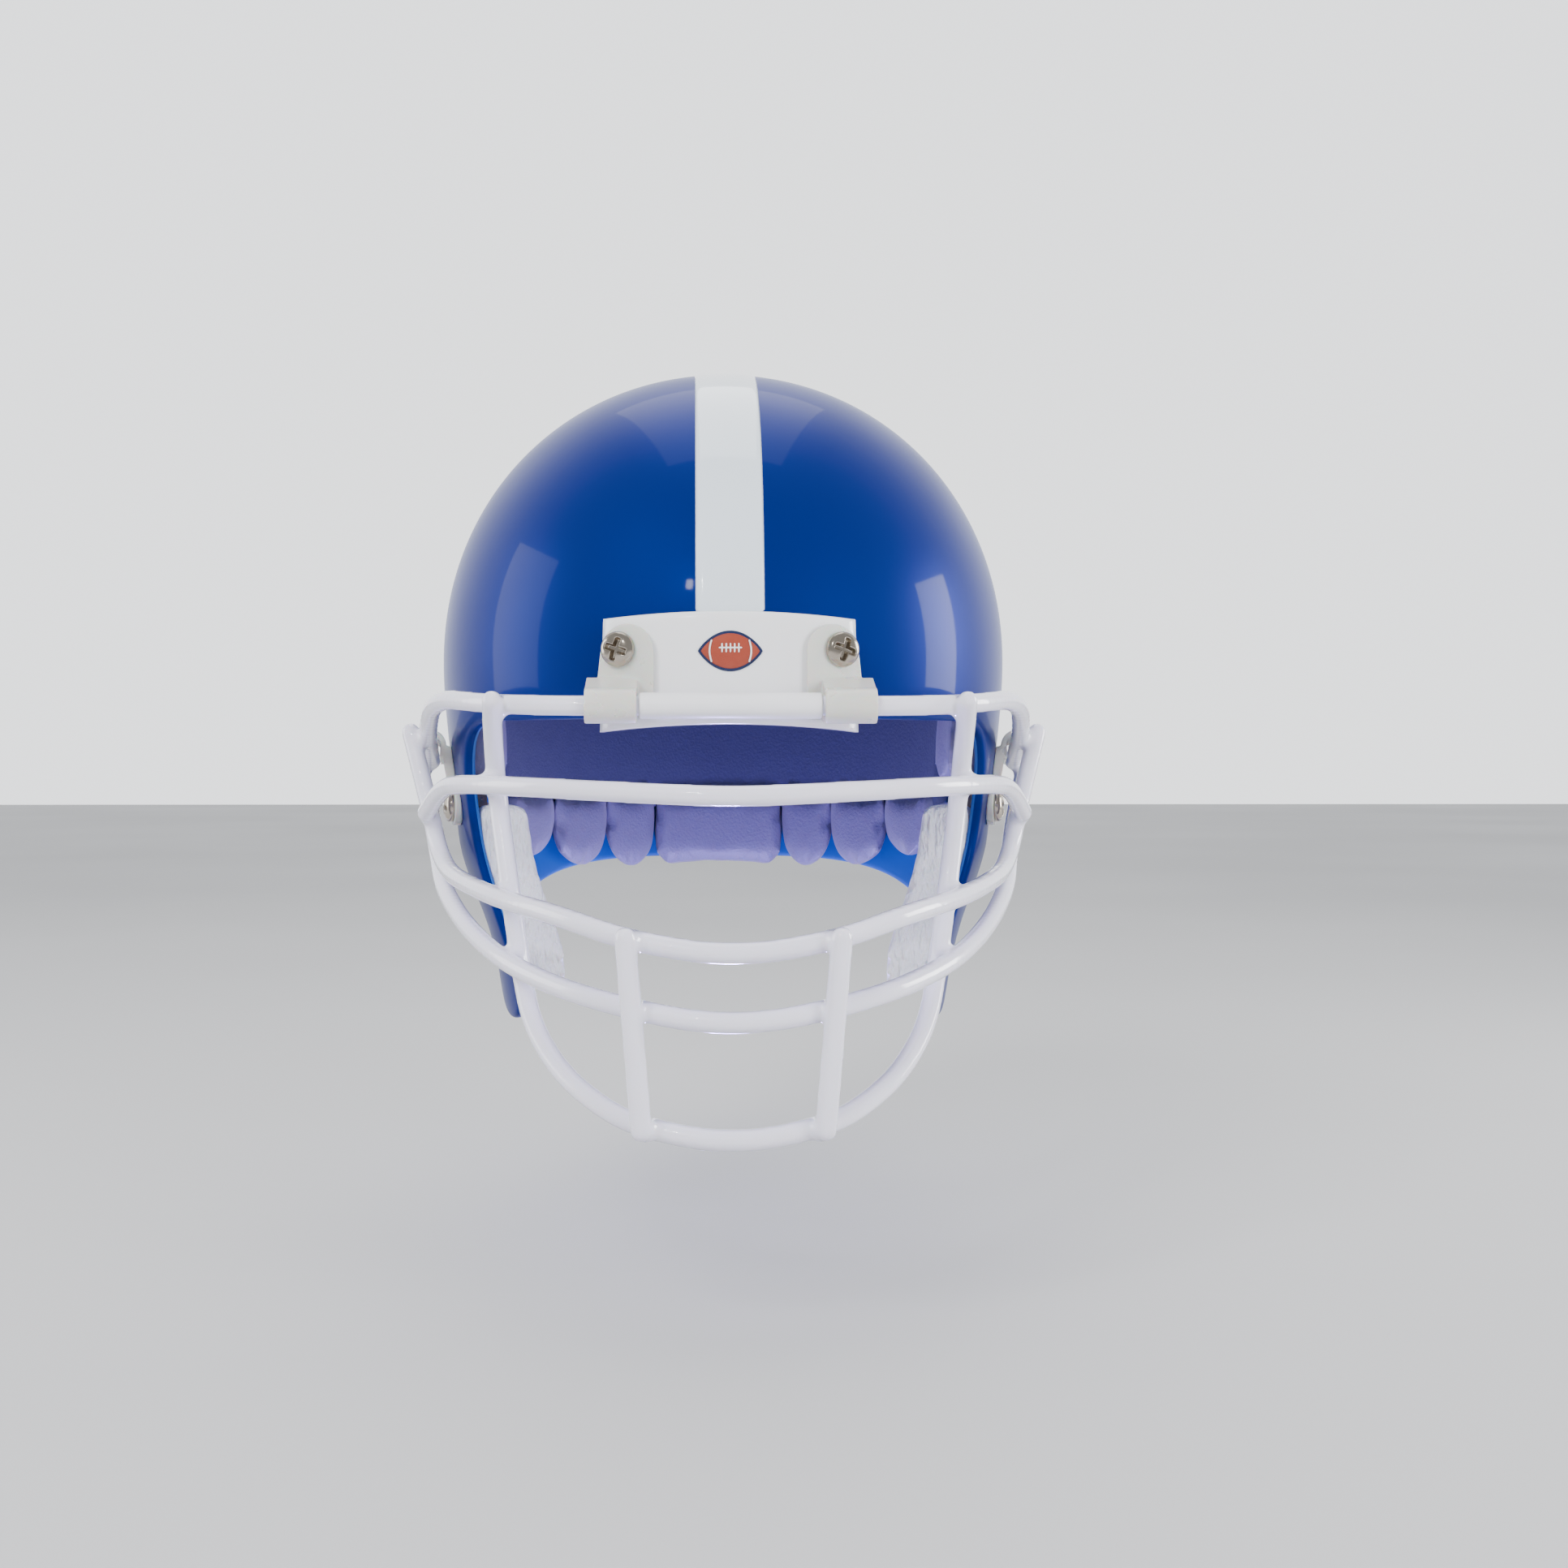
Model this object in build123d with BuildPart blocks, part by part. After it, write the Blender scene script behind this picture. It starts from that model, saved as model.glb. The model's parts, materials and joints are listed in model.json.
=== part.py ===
"""A half-size American football helmet with its welded face mask, made as separate pieces.

Frame: +X to the wearer's left, +Y to the back of the head, +Z up. The origin is the bottom middle
of the whole helmet's box. Millimetres throughout. Outlines and wire points are stated about the
crown's axis, which stands CROWN_Y behind the origin.
"""

from build123d import *

import os
from math import radians, sin, sqrt, tan

# Shell
SHELL_HALF_WIDTH = 54.2
SHELL_FRONT = 61.8  # crown's axis to the forehead
SHELL_BACK = 66.0  # crown's axis to the back
SHELL_WALL = 2.2
SHELL_TOP_Z = 133.3
WIDEST_Z = 77.8
DOME_POWER = 2.06  # 2 is an ellipse, and more is fuller
DOME_STATIONS = (12, 25, 38, 51, 63, 74, 83)  # degrees up the dome's quarter
SKIRT = ((52.9, 60.0), (50.6, 38.0), (46.3, 10.0), (44.4, 0.0))  # half width, height
BROW_Z = 66.0
EAR_HOLE = (10.0, 47.5, 6.0)  # back from the crown's axis, height, radius

# Face mask
WIRE_RADIUS = 1.7
BEND_SHARE = 0.45  # of the shorter run beside a bend that its arc takes
HINGE_Y = -66.0  # brow bar's centre, about the crown's axis
HINGE_Z = 67.9
BAR_PLAY = 0.08  # round the brow bar in its clips
POST_Y = -84.0
ARM_BEND = (54.6, -24.0, 64.4)  # the brow bar's side arm
ARM_END = (56.2, -6.0, 59.0)
SLEEVE_RADIUS = 2.1
SLEEVE_HALF_LENGTH = 14.6

# Trim and hardware
STRIPE_HALF_WIDTH = 5.8
STRIPE_THICK = 0.3
STRIPE_FRONT_Z = 83.8
STRIPE_REAR_Z = 38.0
BUMPER_TOP_Z = 83.4
BUMPER_CORNER = 1.6
BUMPER_BOW = 1.0  # fall of the top edge at its ends
BUMPER_ARCH = 0.8  # rise of the lip in the middle
BUMPER_LIP_Z = 63.8
BUMPER_TOP_HALF_WIDTH = 20.4
BUMPER_LIP_HALF_WIDTH = 21.4
BUMPER_THICK = 1.3
BUMPER_RETURN_Z = 69.5
BUMPER_FIT = 0.1  # between the bumper's return and the shell
BADGE_SIZE = (10.5, 6.6)
BADGE_Z = 76.8
BADGE_THICK = 0.4
CLIP_THICK = 1.1
SCREW_RADIUS = 1.5
SCREW_HOLE_RADIUS = 1.65
SCREW_HOLE_REACH = 12  # either side of the shell's surface
SCREW_HEAD_ROUND = 0.9
RECESS_ARM = (3.4, 0.7)  # length and width of each arm of the cross
RECESS_DEPTH = 1.0
SCREW_HEAD_RADIUS = 2.9
SCREW_HEAD_HEIGHT = 1.7
SCREW_END = -5.4  # from the shell's outer surface
NUT_SIZE = 3.2  # half across corners
NUT_THICK = 2.2
NUT_FACE = -2.75  # from the shell's outer surface
BROW_SCREW_X = 17.3
BROW_SCREW_Z = 77.2
SIDE_SCREW_Y = -17.8
SIDE_SCREW_Z = 50.6
SIDE_HALF_WIDTH = 52.0  # the shell's at the side screws' height
EAR_RADIUS = 3.6
ARM_GAP = 0.3  # round the mask's arm in its hook
HOOK_SHARE = 0.58  # of the arm's last run, from its bend
HOOK_WIDTH = 5.4
HOOK_DROP = 2.2

# Liner
PAD_GAP = 0.3  # between the shell's inner wall and a pad
CROWN_PAD_THICK = 5.0
CROWN_PAD_RADII = (14.0, 30.0)
FRONT_PAD_SIZE = (54.0, 26.0)
FRONT_PAD_Z = 98.0
PANEL_THICK = 3.6
PANEL_FRONT_Y = 17.5
PANEL_TOP_Z = 112.0
CELL_THICK = 5.5
CELL_TOP_Z = 48.0
CELL_GAP = 0.4
CELL_ROUND = 3.8
CELLS = ((-14.5, 14.5, 35.0), (14.9, 25.1, 35.4), (25.5, 35.7, 36.0), (36.1, 45.3, 39.0),
         (-25.1, -14.9, 35.4), (-35.7, -25.5, 36.0), (-45.3, -36.1, 39.0))  # near x, far x, bottom
JAW_PAD_THICK = 8.0
NUT_POCKET = (4.0, 6.6)  # radius, and depth from the shell's outer surface
CUP_RADIUS = 12.5
CUP_BOTTOM_Z = 120.6
MAGNET_RADIUS = 11.0
MAGNET_BOTTOM_Z = 120.9
MAGNET_THICK = 6.0

CROWN_Y = (WIRE_RADIUS - POST_Y - SHELL_BACK - STRIPE_THICK) / 2
TALL = 2 * SHELL_TOP_Z  # longer than anything that it cuts
INSIDE = -SHELL_WALL - PAD_GAP  # a pad's outer face
SIDE = Plane(origin=(0, CROWN_Y, 0), x_dir=(0, 1, 0), z_dir=(1, 0, 0))  # local x is back, y is up
FRONT = Plane(origin=(0, CROWN_Y, 0), x_dir=(1, 0, 0), z_dir=(0, -1, 0))  # local x is X, y is up
REAR = Plane(origin=(0, CROWN_Y, 0), x_dir=(-1, 0, 0), z_dir=(0, 1, 0))  # local x is -X, y is up
SIDES = {"left": 1, "right": -1}  # the wearer's

os.makedirs("parts", exist_ok=True)


def save(builder, name):
    """Labels a finished piece and writes its STEP file."""
    builder.part.label = name
    export_step(builder.part, f"parts/{name}.step")


def dome_radius(z):
    """Half width of the shell at a height above its widest level."""
    share = (z - WIDEST_Z) / (SHELL_TOP_Z - WIDEST_Z)
    return SHELL_HALF_WIDTH * (1 - share**DOME_POWER) ** (1 / DOME_POWER)


def head_form(margin):
    """The shell's outer shape as a full solid, grown by margin: a turned body, deeper to the back."""
    half_width = SHELL_HALF_WIDTH + margin
    widen = half_width / SHELL_HALF_WIDTH
    height = SHELL_TOP_Z - WIDEST_Z
    lift = (height + margin) / height
    rises = [height * sin(radians(station)) for station in DOME_STATIONS]
    dome = [(widen * dome_radius(WIDEST_Z + rise), WIDEST_Z + lift * rise) for rise in rises]
    skirt = [(widen * radius, z) for radius, z in SKIRT]
    top = (0, SHELL_TOP_Z + margin)
    with BuildPart() as turned:
        with BuildSketch(Plane.XZ):
            with BuildLine():
                Spline((half_width, WIDEST_Z), *dome, top, tangents=((0, 1), (-1, 0)))
                Spline((half_width, WIDEST_Z), *skirt, tangents=((0, -1), (-0.2, -1)))
                Polyline(skirt[-1], (0, 0), top)
            make_face()
        revolve()
    with BuildPart() as form:
        for keep, depth in ((Keep.BOTTOM, SHELL_FRONT), (Keep.TOP, SHELL_BACK)):
            half = split(turned.part, bisect_by=Plane.ZX, keep=keep, mode=Mode.PRIVATE)
            half = scale(half, by=(1, (depth + margin) / half_width, 1), mode=Mode.PRIVATE)
            with Locations((0, CROWN_Y, 0)):
                add(half)
    return form.part


OUTER = head_form(0)
INNER = head_form(-SHELL_WALL)


def layer(outside, inside):
    """The skin between two head forms, each stated by its margin from the shell's outer surface."""
    with BuildPart() as skin:
        add(head_form(outside))
        add(head_form(inside), mode=Mode.SUBTRACT)
    return skin.part


def side_plane(sign):
    """Plane on the shell's side at its screw: local z points out of the shell, and y points up."""
    front = SHELL_FRONT / SHELL_HALF_WIDTH * SIDE_HALF_WIDTH
    x = SIDE_HALF_WIDTH * sqrt(1 - (SIDE_SCREW_Y / front) ** 2)
    out = (sign * x / SIDE_HALF_WIDTH**2, SIDE_SCREW_Y / front**2, 0)
    origin = (sign * x, CROWN_Y + SIDE_SCREW_Y, SIDE_SCREW_Z)
    return Plane(origin=origin, x_dir=Vector(0, 0, 1).cross(Vector(out)), z_dir=out)


def brow_plane(sign):
    """Plane on the shell's brow at its screw: local z points out of the shell, and y points up."""
    y = -SHELL_FRONT * sqrt(1 - (BROW_SCREW_X / SHELL_HALF_WIDTH) ** 2)
    out = (sign * BROW_SCREW_X / SHELL_HALF_WIDTH**2, y / SHELL_FRONT**2, 0)
    origin = (sign * BROW_SCREW_X, CROWN_Y + y, BROW_SCREW_Z)
    return Plane(origin=origin, x_dir=Vector(0, 0, 1).cross(Vector(out)), z_dir=out)


SCREW_PLANES = [place(sign) for place in (side_plane, brow_plane) for sign in SIDES.values()]


with BuildPart() as screw_holes:
    with BuildSketch(*SCREW_PLANES):
        Circle(SCREW_HOLE_RADIUS)
    extrude(amount=SCREW_HOLE_REACH, both=True)


# The shell: brow edge, temple corner, cheek, jaw flap, neck edge and back
with BuildPart() as shell:
    add(OUTER)
    add(INNER, mode=Mode.SUBTRACT)
    with BuildSketch(SIDE):
        with BuildLine():
            Line((-80, BROW_Z), (-46, BROW_Z))
            Spline((-46, BROW_Z), (-33.5, 65.4), (-25.6, 55), tangents=((1, 0.05), (-0.02, -1)))
            Spline((-25.6, 55), (-27.6, 40), (-32.4, 24), tangents=((-0.02, -1), (-0.2, -1)))
            Spline((-32.4, 24), (-30.2, 13.6), (-22.5, 12.6), tangents=((-0.2, -1), (1, 0.3)))
            Spline((-22.5, 12.6), (2, 23), (28, 31.5), (48, 36.4), tangents=((1, 0.3), (1, 0.12)))
            Polyline((48, 36.4), (80, 37.4), (80, 160), (-80, 160), (-80, BROW_Z))
        make_face()
    extrude(amount=TALL, both=True, mode=Mode.INTERSECT)
    with BuildSketch(SIDE):
        with Locations(EAR_HOLE[:2]):
            Circle(EAR_HOLE[2])
    extrude(amount=TALL, both=True, mode=Mode.SUBTRACT)
    add(screw_holes.part, mode=Mode.SUBTRACT)
save(shell, "shell")

# Stripe over the crown, from the bumper to the neck edge
with BuildPart() as centre_stripe:
    add(layer(STRIPE_THICK, 0))
    with BuildSketch(FRONT):
        with Locations((0, TALL / 2)):
            Rectangle(2 * STRIPE_HALF_WIDTH, TALL)
    extrude(amount=TALL, both=True, mode=Mode.INTERSECT)
    with BuildSketch(SIDE):
        Polygon((-80, STRIPE_FRONT_Z), (0, STRIPE_FRONT_Z), (0, STRIPE_REAR_Z), (80, STRIPE_REAR_Z),
                (80, 160), (-80, 160), align=None)
    extrude(amount=TALL, both=True, mode=Mode.INTERSECT)
save(centre_stripe, "centre_stripe")


# Bumper: a plate on the forehead whose lip turns under the brow edge and up behind it
RETURN_FACE = -SHELL_WALL - BUMPER_FIT
with BuildPart() as brow_channel:
    add(layer(0, RETURN_FACE))
    with BuildSketch(Plane.XY.offset(BROW_Z - BUMPER_FIT)):
        Rectangle(2 * TALL, 2 * TALL)
    extrude(amount=TALL, mode=Mode.INTERSECT)
with BuildPart() as front_bumper:
    with BuildSketch(FRONT):
        with BuildLine():
            top = ThreePointArc((-BUMPER_TOP_HALF_WIDTH, BUMPER_TOP_Z - BUMPER_BOW), (0, BUMPER_TOP_Z),
                                (BUMPER_TOP_HALF_WIDTH, BUMPER_TOP_Z - BUMPER_BOW))
            lip = ThreePointArc((-BUMPER_LIP_HALF_WIDTH, BUMPER_LIP_Z), (0, BUMPER_LIP_Z + BUMPER_ARCH),
                                (BUMPER_LIP_HALF_WIDTH, BUMPER_LIP_Z))
            Line(top @ 0, lip @ 0)
            Line(top @ 1, lip @ 1)
        face = make_face()
        fillet(face.vertices().group_by(Axis.Y)[-1], BUMPER_CORNER)
    extrude(amount=TALL)
    add(layer(BUMPER_THICK, RETURN_FACE - BUMPER_THICK), mode=Mode.INTERSECT)
    add(brow_channel.part, mode=Mode.SUBTRACT)
    with BuildSketch(FRONT):
        with Locations((0, BUMPER_RETURN_Z)):
            Rectangle(TALL, TALL, align=(Align.CENTER, Align.MIN))
    extrude(amount=SHELL_FRONT + RETURN_FACE, mode=Mode.SUBTRACT)
    add(screw_holes.part, mode=Mode.SUBTRACT)
save(front_bumper, "front_bumper")

# Badge: a plain football shape on the bumper
with BuildPart() as bumper_badge:
    with BuildSketch(FRONT):
        with Locations((0, BADGE_Z)):
            Ellipse(BADGE_SIZE[0] / 2, BADGE_SIZE[1] / 2)
    extrude(amount=TALL)
    add(layer(BUMPER_THICK + BADGE_THICK, BUMPER_THICK), mode=Mode.INTERSECT)
save(bumper_badge, "bumper_badge")

BUMPER_FACE = head_form(BUMPER_THICK)
STRAP_SKIN = layer(BUMPER_THICK + CLIP_THICK, BUMPER_THICK)


LOOP_ENDS_X = (15.0, 23.3)
# Brow clip's strap in front view: foot outwards, foot inwards, then its rounded top
STRAP_FOOT = ((22.3, 66.6), (12.4, 66.6))
STRAP_TOP = ((12.4, 77), (16.75, 81.35), (21.1, 77))
# Web between strap and loop in side view
CLIP_WEB = ((-60.8, 72.6), (-66, 70.7), (-66, 65.1), (-50, 66.2), (-50, 72.6))


def brow_clip(sign):
    """Clip over the bumper: a strap under its screw, and below it a loop round the brow bar."""
    loop_radius = WIRE_RADIUS + BAR_PLAY
    near, far = sorted(sign * x for x in LOOP_ENDS_X)
    foot_out, foot_in, top_in, crest, top_out = [(sign * x, z) for x, z in STRAP_FOOT + STRAP_TOP]
    with BuildPart() as strap:
        with BuildSketch(FRONT):
            with BuildLine():
                Polyline(top_out, foot_out, foot_in, top_in)
                ThreePointArc(top_in, crest, top_out)
            make_face()
        extrude(amount=TALL)
        add(STRAP_SKIN, mode=Mode.INTERSECT)
        add(screw_holes.part, mode=Mode.SUBTRACT)
    with BuildPart() as clip:
        with BuildSketch(SIDE.offset(near)):
            Polygon(*CLIP_WEB, align=None)
            with Locations((HINGE_Y, HINGE_Z)):
                Circle(loop_radius + CLIP_THICK)
                Circle(loop_radius, mode=Mode.SUBTRACT)
        extrude(amount=far - near)
        add(BUMPER_FACE, mode=Mode.SUBTRACT)
        add(strap.part)
    return clip


HOOK_LEG_FOOT = -11  # foot of the hook's inner leg below the arm's middle
HOOK_LEG_LEAN = 2.4
HOOK_LEG_BACK = (-9, -1)  # inner leg's top corner against the shell


def side_clip(sign):
    """Clip on the shell's side: an ear under its screw, and a hook over the mask's arm, open below."""
    arm_run = Vector(sign * (ARM_END[0] - ARM_BEND[0]), ARM_END[1] - ARM_BEND[1], ARM_END[2] - ARM_BEND[2])
    bend = Vector(sign * ARM_BEND[0], CROWN_Y + ARM_BEND[1], ARM_BEND[2])
    hook_plane = Plane(origin=bend + arm_run * HOOK_SHARE, x_dir=(sign, 0, 0), z_dir=arm_run * -sign)
    inner = WIRE_RADIUS + ARM_GAP
    outer = inner + CLIP_THICK
    leg_foot = (-inner - HOOK_LEG_LEAN, HOOK_LEG_FOOT)
    leg_corner = (HOOK_LEG_BACK[0], HOOK_LEG_FOOT)
    ear_plane = side_plane(sign)
    with BuildPart() as clip:
        with BuildSketch(hook_plane):
            Circle(outer)
            with Locations((inner, -HOOK_DROP)):
                Rectangle(CLIP_THICK, HOOK_DROP, align=(Align.MIN, Align.MIN))
            Circle(inner, mode=Mode.SUBTRACT)
            with Locations((0, -outer)):
                Rectangle(2 * inner, outer, align=(Align.CENTER, Align.MIN), mode=Mode.SUBTRACT)
            Polygon((-inner, 0), leg_foot, leg_corner, HOOK_LEG_BACK, (-outer, 0), align=None)
            with Locations((outer, -HOOK_DROP)):
                Rectangle(outer, outer, align=(Align.MAX, Align.MAX), mode=Mode.SUBTRACT)
        extrude(amount=HOOK_WIDTH / 2, both=True)
        with BuildSketch(ear_plane.offset(CLIP_THICK)):
            Circle(EAR_RADIUS)
        extrude(amount=-2 * CLIP_THICK)
        with BuildSketch(ear_plane.offset(CLIP_THICK)):
            Circle(SCREW_HEAD_RADIUS + ARM_GAP)
        extrude(amount=4 * CLIP_THICK, mode=Mode.SUBTRACT)
        add(screw_holes.part, mode=Mode.SUBTRACT)
        add(OUTER, mode=Mode.SUBTRACT)
    return clip


def pan_screw(plane, seat):
    """Pan-head screw with a cross recess; seat is its head's height above the shell's surface."""
    with BuildPart() as screw:
        with BuildSketch(plane.offset(seat)):
            Circle(SCREW_HEAD_RADIUS)
        extrude(amount=SCREW_HEAD_HEIGHT)
        fillet(screw.edges().sort_by(Axis(plane.origin, plane.z_dir))[-1], SCREW_HEAD_ROUND)
        with BuildSketch(plane.offset(seat + SCREW_HEAD_HEIGHT)):
            Rectangle(*RECESS_ARM)
            Rectangle(*RECESS_ARM, rotation=90)
        extrude(amount=-RECESS_DEPTH, mode=Mode.SUBTRACT)
        with BuildSketch(plane.offset(SCREW_END)):
            Circle(SCREW_RADIUS)
        extrude(amount=seat - SCREW_END)
    return screw


def nut(plane):
    """Hexagon nut inside the shell, square to its screw."""
    with BuildPart() as hexagon:
        with BuildSketch(plane.offset(NUT_FACE)):
            RegularPolygon(NUT_SIZE, 6)
            Circle(SCREW_RADIUS, mode=Mode.SUBTRACT)
        extrude(amount=-NUT_THICK)
    return hexagon


for side, sign in SIDES.items():
    save(brow_clip(sign), f"brow_clip_{side}")
    save(side_clip(sign), f"side_clip_{side}")
    save(pan_screw(brow_plane(sign), BUMPER_THICK + CLIP_THICK), f"brow_screw_{side}")
    save(pan_screw(side_plane(sign), CLIP_THICK), f"side_screw_{side}")
    save(nut(brow_plane(sign)), f"brow_nut_{side}")
    save(nut(side_plane(sign)), f"side_nut_{side}")


def mirrored(half):
    """A symmetric wire's points, from its half with X positive, listed from the middle outwards."""
    other_half = [(-x, y, z) for x, y, z in reversed(half) if x > 0]
    return other_half + half


def bend_radii(points):
    """Bend radius at each inner point, as large as BEND_SHARE of the shorter run beside it allows."""
    radii = []
    for before, at, after in zip(points, points[1:], points[2:]):
        run_in = Vector(at) - Vector(before)
        run_out = Vector(after) - Vector(at)
        turn = radians(run_in.get_angle(run_out))
        radii.append(BEND_SHARE * min(run_in.length, run_out.length) / tan(turn / 2))
    return radii


def bent_wire(points):
    """A round wire of straight runs joined by arcs, with rounded ends."""
    placed = [(x, CROWN_Y + y, z) for x, y, z in points]
    with BuildPart() as wire:
        with BuildLine() as path:
            if len(placed) > 2:
                FilletPolyline(*placed, radius=bend_radii(placed))
            else:
                Line(*placed)
        with BuildSketch(Plane(origin=path.line @ 0, z_dir=path.line % 0)):
            Circle(WIRE_RADIUS)
        sweep()
        with Locations(placed[0], placed[-1]):
            Sphere(WIRE_RADIUS)
    return wire


# Half of each wire from the middle outwards, and the posts from the top down
MOUTH_HALF = [(0, -84, 29.7), (16, -81.4, 32), (26.4, -74, 35), (37.4, -59.5, 36.6), (43.9, -47.5, 38),
              (49.4, -33, 39.2), (52.6, -24.5, 43.4), (54, -23, 49.6), (58.2, -19.8, 64.4)]
WIRES = {
    "brow_bar": mirrored([(29.5, HINGE_Y, HINGE_Z), (40.2, -57, 68.5), (50.8, -41.5, 70), ARM_BEND,
                          ARM_END]),
    "eye_bar": mirrored([(0, -76, 53.5), (17, -72.4, 54.2), (33, -63, 54.9), (44.8, -48.6, 55.2),
                         (49.8, -38, 54.5), (54.4, -26, 49.6)]),
    "mouth_bar": mirrored(MOUTH_HALF),
    "lip_bar": mirrored([(0, -86, 19.3), (20, -79.1, 22.3), (34.6, -63, 25.5), (43.6, -48, 29.9),
                         (50.6, -30, 35.6), (53.4, -17, 41), (56.9, -6, 51), (59.5, -5, 60.6)]),
    "chin_bar": mirrored([(0, -84, 1.7), (14.7, -81, 3.9), (22, -75, 7), (27.6, -68.5, 10.8),
                          (32.2, -62, 17), (34.3, -57.7, 26), (36.2, -55.5, 37.6), (39.4, -49.2, 56.4),
                          (38.4, -62.8, 68.8)]),
    "post_left": [(16.2, POST_Y, 32.7), (13.8, POST_Y, 3.9)],
    "post_right": [(-16.2, POST_Y, 32.7), (-13.8, POST_Y, 3.9)],
}
for name, points in WIRES.items():
    save(bent_wire(points), name)

with BuildPart() as bar_sleeve:
    with BuildSketch(Plane.YZ.offset(-SLEEVE_HALF_LENGTH)):
        with Locations((CROWN_Y + HINGE_Y, HINGE_Z)):
            Circle(SLEEVE_RADIUS)
            Circle(WIRE_RADIUS, mode=Mode.SUBTRACT)
    extrude(amount=2 * SLEEVE_HALF_LENGTH)
save(bar_sleeve, "bar_sleeve")


def pad_layer(thickness):
    """The layer of a given thickness that lines the shell, PAD_GAP clear of its inner wall."""
    return layer(INSIDE, INSIDE - thickness)


# Pads over the crown and behind the forehead
with BuildPart() as crown_pad:
    add(pad_layer(CROWN_PAD_THICK))
    with BuildSketch(Plane.XY):
        with Locations((0, CROWN_Y)):
            Circle(CROWN_PAD_RADII[1])
            Circle(CROWN_PAD_RADII[0], mode=Mode.SUBTRACT)
    extrude(amount=TALL, mode=Mode.INTERSECT)
    with BuildSketch(Plane.XY):
        Rectangle(TALL, TALL)
    extrude(amount=WIDEST_Z, mode=Mode.SUBTRACT)
save(crown_pad, "crown_pad")

with BuildPart() as front_pad:
    with BuildSketch(FRONT):
        with Locations((0, FRONT_PAD_Z)):
            RectangleRounded(*FRONT_PAD_SIZE, 6)
    extrude(amount=TALL)
    add(pad_layer(CROWN_PAD_THICK), mode=Mode.INTERSECT)
save(front_pad, "front_pad")

# Rear liner: a smooth panel, and under it a row of cells with round lower ends
with BuildPart() as rear_liner:
    with BuildSketch(SIDE):
        with Locations((PANEL_FRONT_Y, CELL_TOP_Z + CELL_GAP)):
            Rectangle(TALL, PANEL_TOP_Z - CELL_TOP_Z - CELL_GAP, align=(Align.MIN, Align.MIN))
    extrude(amount=TALL, both=True)
    add(pad_layer(PANEL_THICK), mode=Mode.INTERSECT)
save(rear_liner, "rear_liner")

CELL_LAYER = pad_layer(CELL_THICK)
for number, (near_x, far_x, bottom_z) in enumerate(CELLS, start=1):
    with BuildPart() as rear_cell:
        with BuildSketch(REAR.offset(PANEL_FRONT_Y)):
            with Locations((-near_x, CELL_TOP_Z)):
                cell = Rectangle(far_x - near_x, CELL_TOP_Z - bottom_z, align=(Align.MAX, Align.MAX))
            fillet(cell.vertices().group_by(Axis.Y)[0], CELL_ROUND)
        extrude(amount=TALL)
        add(CELL_LAYER, mode=Mode.INTERSECT)
    save(rear_cell, f"rear_cell_{number}")

# Temple pads with a wavy lower edge, and thick pads inside the jaw flaps
TEMPLE_TOP_Z = 80
TEMPLE_WAVE = ((-23, 62), (-17, 56), (-11, 58.4), (-4, 55.2), (3, 57.8), (9, 55.4), (15, 60))
JAW_FLANK = ((-25.4, 51.6), (-27.4, 40), (-31.2, 25), (-29.4, 17.2), (-9, 22.5), (-7, 51.6))
JAW_CORNER = 2.5
TEMPLE_LAYER = pad_layer(CELL_THICK)
JAW_LAYER = pad_layer(JAW_PAD_THICK)
for side, sign in SIDES.items():
    with BuildPart() as temple_pad:
        with BuildSketch(SIDE):
            with BuildLine():
                wave = Spline(*TEMPLE_WAVE)
                rear = Line(wave @ 1, ((wave @ 1).X, TEMPLE_TOP_Z))
                top = Line(rear @ 1, ((wave @ 0).X, TEMPLE_TOP_Z))
                Line(top @ 1, wave @ 0)
            make_face()
        extrude(amount=sign * TALL)
        add(TEMPLE_LAYER, mode=Mode.INTERSECT)
    save(temple_pad, f"temple_pad_{side}")

    with BuildPart() as jaw_pad:
        with BuildSketch(SIDE):
            flank = Polygon(*JAW_FLANK, align=None)
            fillet(flank.vertices().group_by(Axis.Y)[-1], JAW_CORNER)
            fillet(flank.vertices().group_by(Axis.Y)[0], JAW_CORNER)
        extrude(amount=sign * TALL)
        add(JAW_LAYER, mode=Mode.INTERSECT)
        with BuildSketch(side_plane(sign).offset(-NUT_POCKET[1])):
            Circle(NUT_POCKET[0])
        extrude(amount=TALL, mode=Mode.SUBTRACT)
    save(jaw_pad, f"jaw_pad_{side}")

# Hover magnet, in a cup that is fixed to the crown and open below
MAGNET_TOP_Z = MAGNET_BOTTOM_Z + MAGNET_THICK
with BuildPart() as magnet_cup:
    with BuildSketch(Plane((0, CROWN_Y, CUP_BOTTOM_Z))):
        Circle(CUP_RADIUS)
    extrude(amount=TALL)
    add(INNER, mode=Mode.INTERSECT)
    with BuildSketch(Plane((0, CROWN_Y, CUP_BOTTOM_Z))):
        Circle(MAGNET_RADIUS)
    extrude(amount=MAGNET_TOP_Z - CUP_BOTTOM_Z, mode=Mode.SUBTRACT)
save(magnet_cup, "magnet_cup")

with BuildPart() as hover_magnet:
    with BuildSketch(Plane((0, CROWN_Y, MAGNET_BOTTOM_Z))):
        Circle(MAGNET_RADIUS)
    extrude(amount=MAGNET_THICK)
save(hover_magnet, "hover_magnet")
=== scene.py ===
"""Looks of a half-size football helmet with a welded wire mask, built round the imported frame.

Lengths inside the shape classes are millimetres about the crown's axis; a mesh is in metres.
"""
from __future__ import annotations

import json
import logging
import math
from dataclasses import dataclass, field
from enum import Enum

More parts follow.
